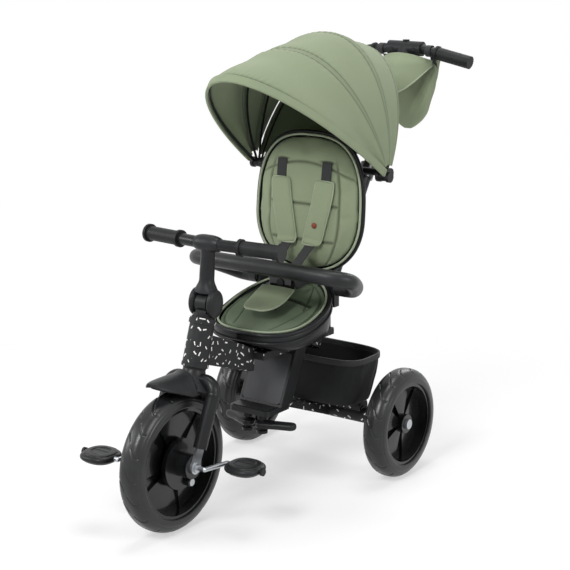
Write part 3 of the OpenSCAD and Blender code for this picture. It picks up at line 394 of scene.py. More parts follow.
# %% [markdown]
# ## Moulded plastic, painted tube and gloss rims
# The trike's plastics are matt and dark with a fine spark-eroded grain. The frame is powder coated, with a scatter of
# short pale dashes. They are our own layout: each cell of a 3D Voronoi pattern holds one short dash,
# turned by the cell's own colour and laid flat on the surface.

# %% Hard finishes
def moulded(name, colour, rough, grain=1500, lift=0.00012):
    """Matt plastic: fine grain as bump, slow drift of tone and gloss."""
    f = Finish(name, Specular_IOR_Level=0.2)
    where = f.place()
    drift, fine = f.noise(where, 14, 3), f.noise(where, grain, 1)
    return f.shade(Base_Color=f.tones(colour, 0.86, 1.16, drift.step(0.3, 0.7)),
                   Roughness=rough + (drift - 0.5) * 0.16 + (fine - 0.5) * 0.1, Normal=f.bump(fine, lift, 0.6))


def dashed(name, colour, pale="#e9e9e6", pitch=0.021, half_long=0.0040, half_wide=0.00135):
    """Powder coat with short pale dashes: inside a cell, the way from its middle is laid flat on the surface,
    and a point is on the dash if it lies within its half length along the cell's own direction
    and within its half width of that line."""
    f = Finish(name, Specular_IOR_Level=0.2)
    where, normal = f.place(), f.place("Normal")
    middle, hue = f.node("TexVoronoi", None, {"Vector": where, "Scale": 1 / pitch, "Randomness": 0.7},
                         ("Position", "Color"))

    def flat(way):
        depth = f.vector("DOT_PRODUCT", way, normal, out="Value")
        return f.vector("SUBTRACT", way, f.node("VectorMath", {"operation": "SCALE"}, {0: normal, "Scale": depth}))

    turn = f.vector("NORMALIZE", flat(f.vector("SUBTRACT", hue, (0.5, 0.5, 0.5))))
    away = flat(f.vector("SUBTRACT", where, middle))
    run, far = f.vector("DOT_PRODUCT", away, turn, out="Value"), f.vector("LENGTH", away, out="Value")
    dash = (abs(run) < half_long) * (far * far - run * run < half_wide ** 2)
    fine, drift = f.noise(where, 1300, 1), f.noise(where, 10, 2)
    body = f.tones(colour, 0.88, 1.12, drift)
    return f.shade(Base_Color=f.tint(body, tuple(linear(pale)), dash), Roughness=0.46 + (fine - 0.5) * 0.12,
                   Normal=f.bump(fine, 0.00008, 0.5))


def lacquered(name, colour):
    """Gloss moulding under a clear coat with a faint orange peel."""
    f = Finish(name, Coat_Weight=0.35, Coat_Roughness=0.05, Specular_IOR_Level=0.3)
    where = f.place()
    peel, drift = f.noise(where, 220, 1), f.noise(where, 18, 2)
    return f.shade(Base_Color=f.tones(colour, 0.8, 1.2, drift), Roughness=0.2 + drift * 0.08,
                   Normal=f.bump(peel, 0.00006, 0.4))


def plated(name, colour):
    """Zinc plate: metal with a faint draw along its length and cloudy gloss."""
    f = Finish(name, Metallic=1.0)
    where = f.place()
    drawn = f.noise(f.node("Mapping", None, {"Vector": where, "Scale": (60.0, 900.0, 900.0)}), 1.0, 2)
    cloud = f.noise(where, 60, 3)
    return f.shade(Base_Color=f.tones(colour, 0.82, 1.1, cloud), Roughness=0.24 + cloud * 0.16,
                   Normal=f.bump(drawn, 0.00005, 0.5))


def foamed(name, colour, cell, rough, lift=0.0004, gloss=0.2):
    """Closed cell foam: small round cells as bump and speckle."""
    f = Finish(name, Specular_IOR_Level=gloss)
    where = f.place()
    cells = f.node("TexVoronoi", None, {"Vector": where, "Scale": cell}, "Distance")
    drift = f.noise(where, 25, 3)
    return f.shade(Base_Color=f.tones(colour, 0.78, 1.22, drift.step(0.3, 0.7)), Roughness=rough + (drift - 0.5) * 0.14,
                   Normal=f.bump(cells * 0.7 + drift * 0.3, lift, 0.5))


matt_black = moulded("matt_black_plastic", "#202122", 0.36)
soft_black = moulded("soft_black_plastic", "#18191a", 0.36, 1100)
panel_grey = moulded("pedestal_grey", "#3b3c3e", 0.45, 1800)
frame_coat = dashed("frame_coat_dashed", "#232425")
tube_coat = moulded("tube_coat", "#1b1c1d", 0.3, 2200, 0.00006)
rim_gloss = lacquered("rim_gloss", "#0e0f10")
zinc = plated("zinc_plate", "#b9bcc0")
tyre_skin = foamed("tyre_foam_skin", "#1e1f20", 700, 0.3, 0.0001, 0.4)
ring_foam = foamed("ring_foam", "#1e1f20", 420, 0.4, gloss=0.3)
grip_foam = foamed("grip_foam", "#1b1c1d", 520, 0.48)
leather = moulded("tan_leather", "#7a4030", 0.6, 700, 0.0003)
print(len(bpy.data.materials), "hard finishes")

# %% [markdown]
# ## Cloth finishes
# The covers are a sage green canvas with two tones of yarn, and the seat liner is a darker moss.
# Where a piece has its cut cloth as UV map, the weave follows the cloth. A stuffed cover loses its UVs when it is
# remeshed, so its weave is read from Object coordinates along two slanting directions, and shows on any side.

# %% Soft finishes
def woven(name, light, dark, pitch=0.0022, cut=True):
    """Plain weave: the product of two sine waves, one along the warp and one along the weft, plus slubs of noise;
    the stored seam attribute darkens seams and creases towards a third of the dark yarn, as painted shade."""
    f = Finish(name, Specular_IOR_Level=0.15, Sheen_Weight=0.12, Sheen_Roughness=0.5)
    where = f.place()
    x, y, z = f.axes(f.place("UV") if cut else where)
    u, v = (x, y) if cut else (x + y * 0.8, z - y * 0.6)
    rate = 2 * math.pi / pitch
    weave = (u * rate).sin() * (v * rate).sin() * 0.5 + 0.5
    slub, cloud = f.noise(where, 420, 2), f.noise(where, 7, 3)
    tone = weave * 0.42 + slub * 0.38 + cloud * 0.3 - 0.05
    yarn = f.tint(tuple(linear(dark)), tuple(linear(light)), tone)
    # Painted shade in seams and creases, read from the attribute that pressed() and the canopy store.
    seam_shade = f.node("Attribute", {"attribute_name": "seam_shade"}, out="Fac")
    return f.shade(Base_Color=f.tint(yarn, tuple(linear(dark) * 0.35), seam_shade * 0.75),
                   Roughness=0.84 + (slub - 0.5) * 0.16, Normal=f.bump(weave * 0.8 + slub * 0.5, 0.00035, 0.6))


def ribbed(name, colour, pitch=0.0016):
    """Webbing: ribs across the strap as a sine of the run, with painted shade darkening the furrows."""
    f = Finish(name, Specular_IOR_Level=0.3, Sheen_Weight=0.15)
    rib = (f.axes(f.place("UV"))[1] * (2 * math.pi / pitch)).sin() * 0.5 + 0.5
    fine = f.noise(f.place(), 900, 1)
    return f.shade(Base_Color=f.tones(colour, 0.7, 1.25, rib * 0.6 + fine * 0.4), Roughness=0.66 + (fine - 0.5) * 0.2,
                   Normal=f.bump(rib, 0.0003, 0.6))


sage = woven("sage_canvas", "#939e82", "#768167")
# The back pad's canvas is sage one step darker, painted shade for the hood over it; its weave follows Object
# coordinates.
sage_pad_shaded = woven("sage_pad_shaded_canvas", "#929d81", "#757f65", cut=False)
moss_pad = woven("moss_seat_canvas", "#6f7d66", "#52604a", cut=False)
moss = woven("moss_lining", "#69735c", "#4c5640")
piping = woven("pale_piping", "#a8b299", "#8c9680", 0.0014)
tub_cloth = woven("tub_cloth", "#232425", "#131415", 0.003)
webbing = ribbed("black_webbing", "#222324")
print(len(bpy.data.materials), "finishes")

# %% [markdown]
# ## Solids that keep their shape
# Tubes, fork, hubs and brackets are right as solids, so each only gets its finish in its own slot.

# %% Dress the solids
solid_finish = {
    frame_coat: "main_frame rear_frame",
    tube_coat: "post_upper handlebar fork rear_axle",
    zinc: "crank clutch_pin dropouts axle_caps recline_pin",
    rim_gloss: "front_rim rear_rim_left rear_rim_right post_collar buckle",
    panel_grey: "pedestal_panel",
    grip_foam: "handlebar_grips push_grips",
    soft_black: "bow_rear bow_back bow_mid bow_front basket_rim push_button buckle_button pedal_nuts footrest_pivots "
                "knuckle_pin head_bushes",
}
finish_of = {node: finish for finish, names in solid_finish.items() for node in names.split()}
for node, solid in cad.items():
    finish = finish_of.get(node, matt_black)
    if not solid.material_slots:
        solid.data.materials.append(finish)
    for place in solid.material_slots:
        place.material = finish
print(sorted(set(finish_of) - set(cad)), "names not found")

# %% [markdown]
# ## Canopy
# The hood is one sheet over four bows that fan out from a pivot on each side. A point of it is given by the lean of its
# plane and the turn round the arch. Between bows the cloth hangs in a little; over a bow it lifts on the welt of its
# sleeve, and along each welt it puckers where thread gathers it.

# %% Canopy cover
pivot = np.array([0.0, -17.5, 672.0])
lean_of_bow, power_of_bow = np.array([-27.0, -4, 25, 55]), np.array([2.15, 2.2, 2.2, 1.95])
reach_of_bow = np.array([292.0, 292, 292, 390])
rear_lean, front_lean = lean_of_bow[0], lean_of_bow[-1]
cloth_half, cloth_over = 179.3, 4.4


def arch(half, reach, power, lean, turn):
    """Superellipse arch of that half width, reach and power, in a plane through the pivots
    that leans forward by lean degrees."""
    up = reach * spow(np.sin(turn), 2 / power)
    lean = np.radians(lean)
    return stack(half * spow(np.cos(turn), 2 / power), -up * np.sin(lean), up * np.cos(lean))


def off_bow(lean):
    """Degrees from the nearest bow."""
    return np.abs(lean[..., None] - lean_of_bow).min(-1)


def hood(lean, turn, lift):
    """The hood: arches between neighbouring bows, drawn in by a squared sine between them,
    raised by a bell over each bow, puckered by a fast sine beside it."""
    near = off_bow(lean)
    between = np.sin(np.pi * np.interp(lean, lean_of_bow, [0, 1, 2, 3])) ** 2
    dip = (6 + 8 * ease(25, 32, lean) * (1 + np.cos(turn) ** 2)) * between
    welt = 1.6 * groove(near, 0, 0.8) - 0.9 * groove(near, 1.9, 0.7)
    pucker = 0.8 * np.sin(turn * 95 + 3 * np.sin(turn * 9)) * groove(near, 2.4, 2.2)
    sag = 2.2 * np.sin(turn * 5 + lean * 0.11) * between
    reach = np.interp(lean, lean_of_bow, reach_of_bow) + cloth_over + lift - dip + welt + pucker + sag
    return pivot + arch(cloth_half + lift - 0.3 * dip, reach, np.interp(lean, lean_of_bow, power_of_bow), lean, turn)


def laid_out(grid, row, col):
    """Place of every point on the cut cloth: the runs along one row and one column of its grid."""
    return stack(along(grid[row])[None], along(grid[:, col])[:, None])


def longest(lines):
    """Length of the longest of some lines."""
    return float(max(along(line)[-1] for line in lines))


def area(points):
    """Area of a grid of points: the cross product of the two sides of each cell, summed."""
    first = points[:-1, :-1]
    return float(np.linalg.norm(np.cross(points[1:, :-1] - first, points[:-1, 1:] - first), axis=-1).sum())


lean, turn = field(np.linspace(rear_lean, front_lean, 165), np.radians(np.linspace(4, 176, 241)))
outer, inner = metres(hood(lean, turn, 1.4)), metres(hood(lean, turn, 0.0))
cover = skin("canopy_cover", outer, inner, cloth=laid_out(outer, 82, 120))
cover_area, cover_cut = area(outer), (longest(outer[::20]), longest(outer.swapaxes(0, 1)[::20]))
cover.data.materials.append(sage)
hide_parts("canopy_cloth")
metres(pivot + [0, 60, 160])
metres(pivot + [0, -250, 120])
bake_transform(cover)
spot = read(cover) - metres(pivot)
lean = np.degrees(np.arctan2(-spot[:, 1], spot[:, 2]))
near = off_bow(lean)
# Painted shade along the hood: full in the dip beside each welt, half along the welt itself.
mark(cover, groove(near, 1.7, 0.55) + 0.5 * groove(near, 0, 0.35))
print("canopy cloth", [round(x, 3) for x in cover_cut], "m, area", round(cover_area, 3))

# %% [markdown]
# The front edge is bound by a padded hem, and a lining panel closes the back of the hood behind the child's head.
# The hem rides on the front bow, so that it stays with it when the hood folds.

# %% Canopy hem and back panel
turn, tilt = np.radians(np.linspace(3, 177, 161)), math.radians(front_lean)
hem_line = metres(pivot + arch(cloth_half + 0.6, reach_of_bow[-1] + cloth_over, power_of_bow[-1], front_lean, turn))
hem = rod("canopy_hem", hem_line, strap_section(0.0085, 0.0062), across=(0, -math.cos(tilt), -math.sin(tilt)))
ride(hem, "canopy_front", sage, "sage_fabric")

share, turn = field(np.linspace(0, 1, 60), np.radians(np.linspace(12, 168, 121)))
drop = arch(177.0, mix(0.17 * reach_of_bow[0], reach_of_bow[0] + 1, share), power_of_bow[0], rear_lean, turn)
hang = 5 * np.sin(np.pi * share) * np.sin(turn) ** 2 + 0.8 * np.sin(turn * 60) * groove(share, 1, 0.06)
tilt = math.radians(rear_lean)
behind = np.array([0.0, math.cos(tilt), -math.sin(tilt)])
panel_face, panel_back = (metres(pivot + drop + (hang[..., None] + t) * behind) for t in (0.8, -0.8))
lining = skin("canopy_lining", panel_face, panel_back, cloth=laid_out(panel_face, 30, 60))
ride(lining, "backrest", moss, "moss_fabric", "canopy_drop")
lining_area, lining_cut = area(panel_face), (longest(panel_face[-1:]), longest(panel_face.swapaxes(0, 1)[::20]))
print("lining", [round(x, 3) for x in lining_cut], "area", round(lining_area, 3))

# %% [markdown]
# ## Seat pan
# A shallow tray moulding: seen from above it is an oval, its rim climbs to the back and dips at the sides like a
# saddle, and its wall drops to a flat floor. A rolled lip runs round the rim and a second bead below it.

# %% Seat pan
pan_front, pan_back, pan_wide, pan_wall = -314, -74, 122, 6


def pan_half(v):
    """Half width of the oval, a superellipse of power 2.3 along the seat."""
    return pan_wide * (1 - np.minimum(np.abs(2 * v - 1), 1) ** 2.3) ** (1 / 2.3)


def pan_drop(v):
    """How far the sides dip below the middle line: with the square of the half width."""
    return 17 * (pan_half(v) / pan_wide) ** 2


def pan_rim(v):
    """Rim height: a straight climb to the back, less the dip of the sides."""
    return mix(365, 441, v) - pan_drop(v)


def pan_floor(v):
    """Floor height: level in the middle, curling up at both ends."""
    return 320.3 + 30 * np.clip(1 - v / 0.32, 0, 1) ** 2 + 40 * np.clip((v - 0.66) / 0.34, 0, 1) ** 2


def bucket(v, turn, into):
    """Cross section at v, that far inside the outer skin: a superellipse of power 4.5 hung from the rim."""
    depth = np.maximum(pan_rim(v) - pan_floor(v) - into, 1.5)
    return stack(np.maximum(pan_half(v) - into, 0) * spow(np.cos(turn), 2 / 4.5),
                 mix(pan_front + into, pan_back - into, v), pan_rim(v) - depth * spow(np.sin(turn), 2 / 4.5))


def bunched(count, trim=0.0):
    """Steps from 0 to 1 that crowd at both ends, half of one minus a cosine; trim cuts a little off each end."""
    return (1 - np.cos(np.linspace(trim, np.pi - trim, count))) / 2


def plastic(thing, body, *stands_for):
    """A matt black moulding."""
    return ride(thing, body, matt_black, "black_plastic", *stands_for)


run = bunched(90)
v, turn = field(run, np.linspace(0, np.pi, 97))
plastic(skin("seat_pan_shell", metres(bucket(v, turn, 0)), metres(bucket(v, turn, pan_wall))), "frame", "seat_pan")
round_rim = np.concatenate([run, run[-2:0:-1]])
side = np.where(np.arange(len(round_rim)) < len(run), 1, -1)


def rim_line(grow, front, back, lift):
    """Line round the rim from front to back and round again, grown sideways and lifted."""
    return metres(stack(side * np.maximum(pan_half(round_rim) + grow, 0), mix(front, back, round_rim),
                        pan_rim(round_rim) + lift))


for name, out, lift, thick in (("lip", -2, 0, 0.0048), ("bead", 0.5, -17, 0.0034)):
    line = rim_line(out, pan_front - out, pan_back + out, lift)
    bead = rod("seat_pan_" + name, line, circle(thick, 14), across=(0, 0, 1), loop=True)
    ride(bead, "frame", soft_black, "black_plastic")

# %% [markdown]
# ## Stuffed covers
# A sewn cover over foam is tight at its seams and swells between them. We build the cover a little small, remesh it
# into even cells, and let Blender's cloth blow it up with a slight pressure. How far a point may move is capped,
# so the pad stays in its space. Seams come last, pressed into the swollen form along its normals.

# %% Stuffing
def applied(thing):
    """Keep what the modifiers make as the piece's own mesh, and drop them."""
    made = bpy.data.meshes.new_from_object(thing.evaluated_get(bpy.context.evaluated_depsgraph_get()))
    old = thing.data
    thing.modifiers.clear()
    thing.data = made
    bpy.data.meshes.remove(old)
    round_off(made)


def stuffed(thing, cell, cap, pressure=4.0, smooth=6, steps=20):
    """Remesh, swell with cloth pressure, hold every point within cap of where it was, smooth and subdivide."""
    thing.modifiers.new("even", "REMESH").voxel_size = cell
    applied(thing)
    start = read(thing)
    cloth = thing.modifiers.new("cover", "CLOTH")
    cloth.settings.use_pressure = True
    cloth.settings.uniform_pressure_force = pressure
    cloth.settings.effector_weights.gravity = 0
    cloth.settings.quality = 5
    for number in range(1, steps + 1):
        scene.frame_set(number)
    applied(thing)
    scene.frame_set(1)
    move = read(thing) - start
    size = np.linalg.norm(move, axis=-1, keepdims=True)
    write(thing, start + move * np.minimum(1, cap / np.maximum(size, 1e-9)))
    soften = thing.modifiers.new("soften", "SMOOTH")
    soften.factor, soften.iterations = 0.5, smooth
    applied(thing)
    finer = thing.modifiers.new("finer", "SUBSURF")
    finer.levels = finer.render_levels = 1
    applied(thing)
    print(thing.name, len(thing.data.polygons), "faces after stuffing")
    return thing


def pressed(thing, depth, full=3.2):
    """Press depths into the piece along its normals; depth gives them in millimetres
    from points in millimetres and normals, and the depth as a share of full is stored as painted seam shade."""
    points, normal = read(thing), read(thing, "normal")
    deep = depth((points - np.array([0, axle_y, 0])) * 1000, normal)
    write(thing, points - normal * (deep * 0.001)[:, None])
    mark(thing, np.clip(deep / full, 0, 1))


# %% [markdown]
# ## Seat liner
# The pad is a dished oval that stands a little above the rim: a rolled edge with a pale piping, a floor panel in front,
# a deep fold across behind it and a slit in each side panel.

# %% Seat liner
liner_front, liner_back, liner_in = -307, -81, 8


def liner_top(v, u):
    """Upper face at v along and u across: the rim line plus a crown that cancels the dip of the sides,
    less a dish that fades to the edge with fourth powers."""
    w = 2 * v - 1
    dish = 22 * (1 - u ** 4) * (1 - w ** 4)
    return stack(np.maximum(pan_half(v) - liner_in, 0) * u, mix(liner_front, liner_back, v),
                 pan_rim(v) + 7 - 5 * np.maximum(np.abs(u) ** 8, np.abs(w) ** 12) + pan_drop(v) * (1 - u * u) - dish)


v, u = field(bunched(80, 0.03), np.cos(np.linspace(0, np.pi, 81)))
top = liner_top(v, u)
under = top - np.array([0, 0, 1.0]) * (12 + 8 * (1 - u ** 4))[..., None]
liner = stuffed(skin("seat_liner", metres(top), metres(under)), 0.004, 0.004)


def liner_seams(p, n):
    """Grooves: a ring inside the rolled edge, the fold behind the floor panel, a slit in each side panel
    that runs inwards to the back, and a line down each side of the floor panel."""
    x, y = np.abs(p[:, 0]), p[:, 1]
    v = np.clip((y - liner_front) / (liner_back - liner_front), 0.001, 0.999)
    ring = groove((x / (pan_wide - liner_in)) ** 2.3 + np.abs(2 * v - 1) ** 2.3, 0.74, 0.045)
    fold = groove(y, -152 - 0.0016 * x ** 2, 3.4) * ease(84, 74, x)
    slit = groove(x, 70 - 0.32 * (y + 178), 2.2) * ease(-184, -176, y) * ease(-98, -106, y)
    front = groove(x, 62 + 0.3 * (y + 220), 2.4) * ease(-152, -160, y) * ease(-276, -266, y)
    return np.clip(n[:, 2] * 1.3, 0, 1) * np.maximum.reduce([3.0 * ring, 6.0 * fold, 3.6 * slit, 2.2 * front])


def piped(name, path, radius, across, body, count=8, loop=True):
    """Pale piping, a thin round cord along a sewn edge."""
    return ride(rod(name, path, circle(radius, count), across, loop), body, piping, "sage_fabric")


# The pressed grooves also store painted shade for the seams, the slits and the fold.
pressed(liner, liner_seams)
ride(liner, "frame", moss_pad, "moss_fabric", "seat_cushion")
piped("seat_liner_piping", rim_line(-9, liner_front, -82, 5.5), 0.0024, (0, 0, 1), "frame", 10)

# %% [markdown]
# ## Backrest shell and pad
# The shell is an egg shaped dish, wider at the shoulders. Its pad is a stuffed cover with an arch of stitching over the
# headrest, a seam down each side and two channels across, and the shoulder straps come out of slots near its top.

# %% Backrest shell
egg_mid, egg_top, egg_foot, egg_wide = 580.1, 757.0, 452.0, 140


def egg_part(above):
    """Power and height of the outline above its widest line, or below it."""
    return np.where(above, 2.8, 2.2), np.where(above, egg_top - egg_mid, egg_mid - egg_foot)


def egg(turn, scale):
    """Outline of the back: power 2.8 above its widest line and 2.2 below."""
    power, tall = egg_part(np.sin(turn) >= 0)
    return egg_wide * scale * spow(np.cos(turn), 2 / power), egg_mid + tall * scale * spow(np.sin(turn), 2 / power)


def egg_half(z):
    """Half width of the outline at height z."""
    power, tall = egg_part(z > egg_mid)
    return egg_wide * (1 - np.clip(np.abs(z - egg_mid) / tall, 0, 0.9995) ** power) ** (1 / power)


def egg_share(z):
    """Height from the foot of the outline as a share of the whole."""
    return (z - egg_foot) / (egg_top - egg_foot)


def back_rim(z):
    """The rim leans back a little."""
    return -60 + (z - 560) * 0.077


def bowl(x, z, deep, power):
    """Depth at a place: deep in the middle, none at the outline."""
    u = np.clip(np.abs(x) / egg_half(z), 0, 1)
    q = np.clip(np.abs(2 * egg_share(z) - 1), 0, 1)
    return deep * (1 - u ** 3) * (1 - q ** power)


def egg_line(scale, shift):
    """The outline at a scale, moved along y from the rim."""
    x, z = egg(full_turn(200), scale)
    return metres(stack(x, back_rim(z) + shift, z))


scale, turn = field(np.sin(np.linspace(0, np.pi / 2, 46)), full_turn(160))
x, z = egg(turn, scale)
dish = back_rim(z) + bowl(x, z, 38, 4)
shell = skin("back_shell", metres(stack(x, dish + 6, z)), metres(stack(x, dish, z)), wrap=True)
plastic(shell, "backrest", "backrest_shell")
lip = rod("back_shell_lip", egg_line(1.0, 3), circle(0.0046, 12), across=(0, 1, 0), loop=True)
ride(lip, "backrest", soft_black, "black_plastic")

# %% [markdown]
# The shell's hinge barrel is part of the solid that the smooth shell stands for, so it is made again here:
# a barrel along the hinge and a web that joins it to the dish.

# %% Backrest hinge
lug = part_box("recline_pin")[1][0] * 1000 - 14
barrel_line = metres(stack(lug * np.array([-1, -0.97, 0.97, 1]), -42.0, 400.0))
barrel_r = 0.001 * np.array([8.6, 10, 10, 8.6])
plastic(rod("back_hinge_barrel", barrel_line, oval(barrel_r, barrel_r), across=(0, 1, 0)), "backrest")
web_line = metres(through([[0, -44, 402], [0, -45, 430], [0, -50, 462], [0, -42, 500]], 24))
plastic(rod("back_hinge_web", web_line, strap_section(0.026, 0.010)), "backrest")

# %% Back pad
scale, turn = field(np.sin(np.linspace(0, np.pi / 2, 40)), full_turn(140))
x, z = egg(turn, scale * 0.965)
front = back_rim(z) - 3 - bowl(x, z, 19, 5)
back = np.maximum(back_rim(z) + bowl(x, z, 38, 4) - 2.5, front + 6)
pad = stuffed(skin("back_pad", metres(stack(x, front, z)), metres(stack(x, back, z)), wrap=True), 0.005, 0.005)
slot_x, slot_z = 59, 699


def pad_seams(p, n):
    """Grooves on the front: side seams at 0.66 of the width, an arch at the headrest, two channels across
    and the slots of the straps."""
    u, q = np.abs(p[:, 0]) / egg_half(p[:, 2]), egg_share(p[:, 2])
    edges = groove(u, 0.66, 0.022) * ease(0.86, 0.76, q)
    arch_line = groove(q, 0.80 - 0.13 * u * u, 0.010) * (u < 0.9)
    channels = (groove(q, 0.24, 0.011) + groove(q, 0.5, 0.011)) * ease(0.68, 0.6, u)
    slots = groove(np.abs(p[:, 0]), slot_x, 15) * groove(p[:, 2], slot_z, 2.6)
    return np.clip(-n[:, 1], 0, 1) * np.maximum.reduce([3.2 * edges, 3.4 * arch_line, 3.4 * channels, 5.0 * slots])


# The pressed grooves also store painted shade for the seams, channels and slots.
pressed(pad, pad_seams)
ride(pad, "backrest", sage_pad_shaded, "sage_fabric", "backrest_pad")
piped("back_pad_piping", egg_line(0.972, -3.5), 0.0026, (0, 1, 0), "backrest", 10)

# %% [markdown]
# ## Harness
# Two shoulder pads sleeve the webbing, which leaves the slots above and meets at the buckle below. A leaf shaped pad
# covers the crotch strap, and two lap straps come in from the sides. Webbing is flat, so it is carried along its route.

# %% Shoulder pads and webbing
buckle_y = -156.0
both_sides = ((1, "left"), (-1, "right"))


def strap_route(v, sign):
    """Middle line of a shoulder strap from the buckle, v = 0, to its slot, v = 1."""
    z = mix(464, slot_z, v)
    x = mix(26, slot_x, ease(0, 0.9, v))
    rest = back_rim(z) - 3 - bowl(x, z, 22, 5) - 3.2
    return stack(sign * x, mix(rest, buckle_y + 2, ease(0.3, 0, v)), z)


def webbed(name, path, half, thick, body, *stands_for, across=(1, 0, 0), loop=False):
    """Black webbing that lies flat along its route."""
    strap = rod(name, path, strap_section(half, thick), across, loop)
    return ride(strap, body, webbing, "black_fabric", *stands_for)


def edging(line, half):
    """Closed line round a flat strip: along one edge and back along the other."""
    out = stack(half, 0 * half, 0 * half)
    return np.concatenate([line + out, (line - out)[::-1]])


for sign, name in both_sides:
    strap = metres(strap_route(np.linspace(0, 1, 90), sign))
    webbed(f"shoulder_webbing_{name}", strap, 0.0125, 0.0022, "backrest", *(["shoulder_pads"] if sign > 0 else []))
    w = np.linspace(-1, 1, 80)
    line = metres(strap_route(mix(0.235, 0.83, (w + 1) / 2), sign) - np.array([0, 2.6, 0]))
    end = (1 - np.abs(w) ** 7) ** (1 / 7)
    half = 0.009 + 0.0155 * end
    sleeve = rod(f"shoulder_pad_{name}", line, oval(half, 0.002 + 0.0042 * end, 0.6, 0.8))
    ride(sleeve, "backrest", sage, "sage_fabric")
    piped(f"shoulder_piping_{name}", edging(line, half), 0.0017, (0, 1, 0), "backrest")

# %% Round tag
tag_at = strap_route(np.array([0.42]), 1)[0] + [0, -9.5, 0]
tag_path = metres(tag_at + np.array([[0, 0.8, 0], [0, -0.8, 0]]))
ride(rod("round_tag", tag_path, circle(0.0065, 28)), "backrest", leather, "black_fabric")

# %% Crotch pad and lap straps
tongue_line = metres(through([[0, -262, 404], [0, -236, 408], [0, -205, 418], [0, -172, 434]], 60))
wide = 0.043 * np.clip(np.sin(np.pi * (0.03 + 0.6 * np.linspace(0, 1, 60) ** 0.8)), 0, 1) ** 0.42
tongue = rod("crotch_pad", tongue_line, oval(wide, 0.0015 + 0.07 * wide, 0.7, 0.8, 32))
ride(tongue, "frame", sage, "sage_fabric", "lap_straps")
piped("crotch_piping", edging(tongue_line, wide), 0.0019, (0, 0, 1), "frame")
crotch_line = metres(through([[0, -196, 384], [0, -199, 400], [0, -203, 417]], 20))
webbed("crotch_webbing", crotch_line, 0.0125, 0.0026, "frame")
lap = through([[74, -52, 436], [70, -84, 451], [58, -112, 455], [45, -142, 448], [32, -156, 442]], 60)
for sign, name in both_sides:
    webbed(f"lap_webbing_{name}", metres(lap * np.array([sign, 1, 1])), 0.011, 0.0024, "frame",
           across=unit(np.array([0.45 * sign, 0.35, 0.9])))

# %% [markdown]
# ## Safety ring
# A foam sleeve over a bent tube. Its route is a smooth line through the same stations as the solid,
# mirrored to the other side.

# %% Safety ring
ring_at = np.array([0.0, -100.0, 434.0])
ring_half, ring_out, ring_up, ring_end = 198, 145, 61, 105.4
bend = np.array([[0, 1, 1], [0.36, 0.99, 0.99], [0.66, 0.95, 0.96], [0.88, 0.87, 0.9], [1, 0.7, 0.78],
                 [0.965, 0.48, 0.57], [0.87, 0.22, 0.28], [0.76, 0.05, 0.06]]) * [ring_half, -ring_out, ring_up]
half_ring = through([*bend, *([ring_end + more, 0, 0] for more in (24, 12, 0))], 150)
ring_line = metres(ring_at + np.concatenate([half_ring[:0:-1] * np.array([-1, 1, 1]), half_ring]))
ring = rod("safety_ring_foam", ring_line, circle(0.017, 36), across=unit(np.array([0.0, -ring_up, -ring_out])))
ride(ring, "ring", ring_foam, "black_foam", "safety_ring")

# %% [markdown]
# ## Front mudguard
# A thin shell over the front wheel that widens at the sides and runs out to a beak in front,
# and a bell shaped cover between the head tube and the crown of the fork.

# %% Mudguard
wheel_at = np.array([0.0, -534.0, 145.0])


def guard(turn, s, thick):
    """Round the wheel by turn degrees, across by s from -1 to 1: the middle line keeps level
    from the head tube out to the beak, and the sides droop."""
    front = ease(-24, 34, turn)
    tip = np.sqrt(1 - np.clip((turn - 12) / 9.2, 0, 1) ** 2)
    half = (31.5 + 12 * ease(-62, -30, turn) - 22 * ease(-6, 26, turn) ** 1.3) * tip
    base = 152 + 6 * ease(-30, -70, turn) + 44 * front ** 2
    nose = np.maximum(178 / np.cos(np.radians(turn)) - base, 0) * ease(-17, -11, turn)
    swell = 13 * ease(-64, -44, turn) * ease(-6, -24, turn)
    reach = base + thick + swell + nose * (1 - np.abs(s) ** 2.2) - (16 - 8 * front) * tip * np.abs(s) ** 2.6
    t = np.radians(turn)
    return wheel_at + stack(half * s, -reach * np.sin(t), reach * np.cos(t))


def leaning(degrees):
    """Upward direction that leans back by some degrees."""
    return np.array([0.0, math.sin(math.radians(degrees)), math.cos(math.radians(degrees))])


turn, s = field(np.linspace(-62, 21, 140), np.linspace(-1, 1, 61))
plastic(skin("mudguard", metres(guard(turn, s, 3.5)), metres(guard(turn, s, 0.0))), "steering", "fender")
head, drop = np.array([0.0, -459.8, 326.2]), np.linspace(0, 1, 40)
bell = 0.001 * oval(mix(23.2, 56, drop ** 1.8), mix(23.2, 48, drop ** 1.6), count=64)
plastic(rod("crown_cover", metres(head - (3.6 + 42 * drop)[:, None] * leaning(17)), bell), "steering")

# %% [markdown]
# ## Stem
# The stem stands on the knuckle with two cheeks beside the barrel, tapers upwards and ends in a rounded clamp round the
# bar. Each is a section carried along a straight line, with a size that changes on the way.

# %% Stem
knuckle, rise = np.array([0.0, -421.5, 451.5]), leaning(5)


def column(name, heights, wide, deep, shift, power, *stands_for):
    """Superellipse sections of half width wide and half depth deep at those heights over the knuckle,
    on a line shifted sideways."""
    line = metres(knuckle + np.array([shift, 0, 0]) + heights[:, None] * rise)
    plastic(rod(name, line, 0.001 * oval(wide, deep, 2 / power, count=48)), "handlebar", *stands_for)


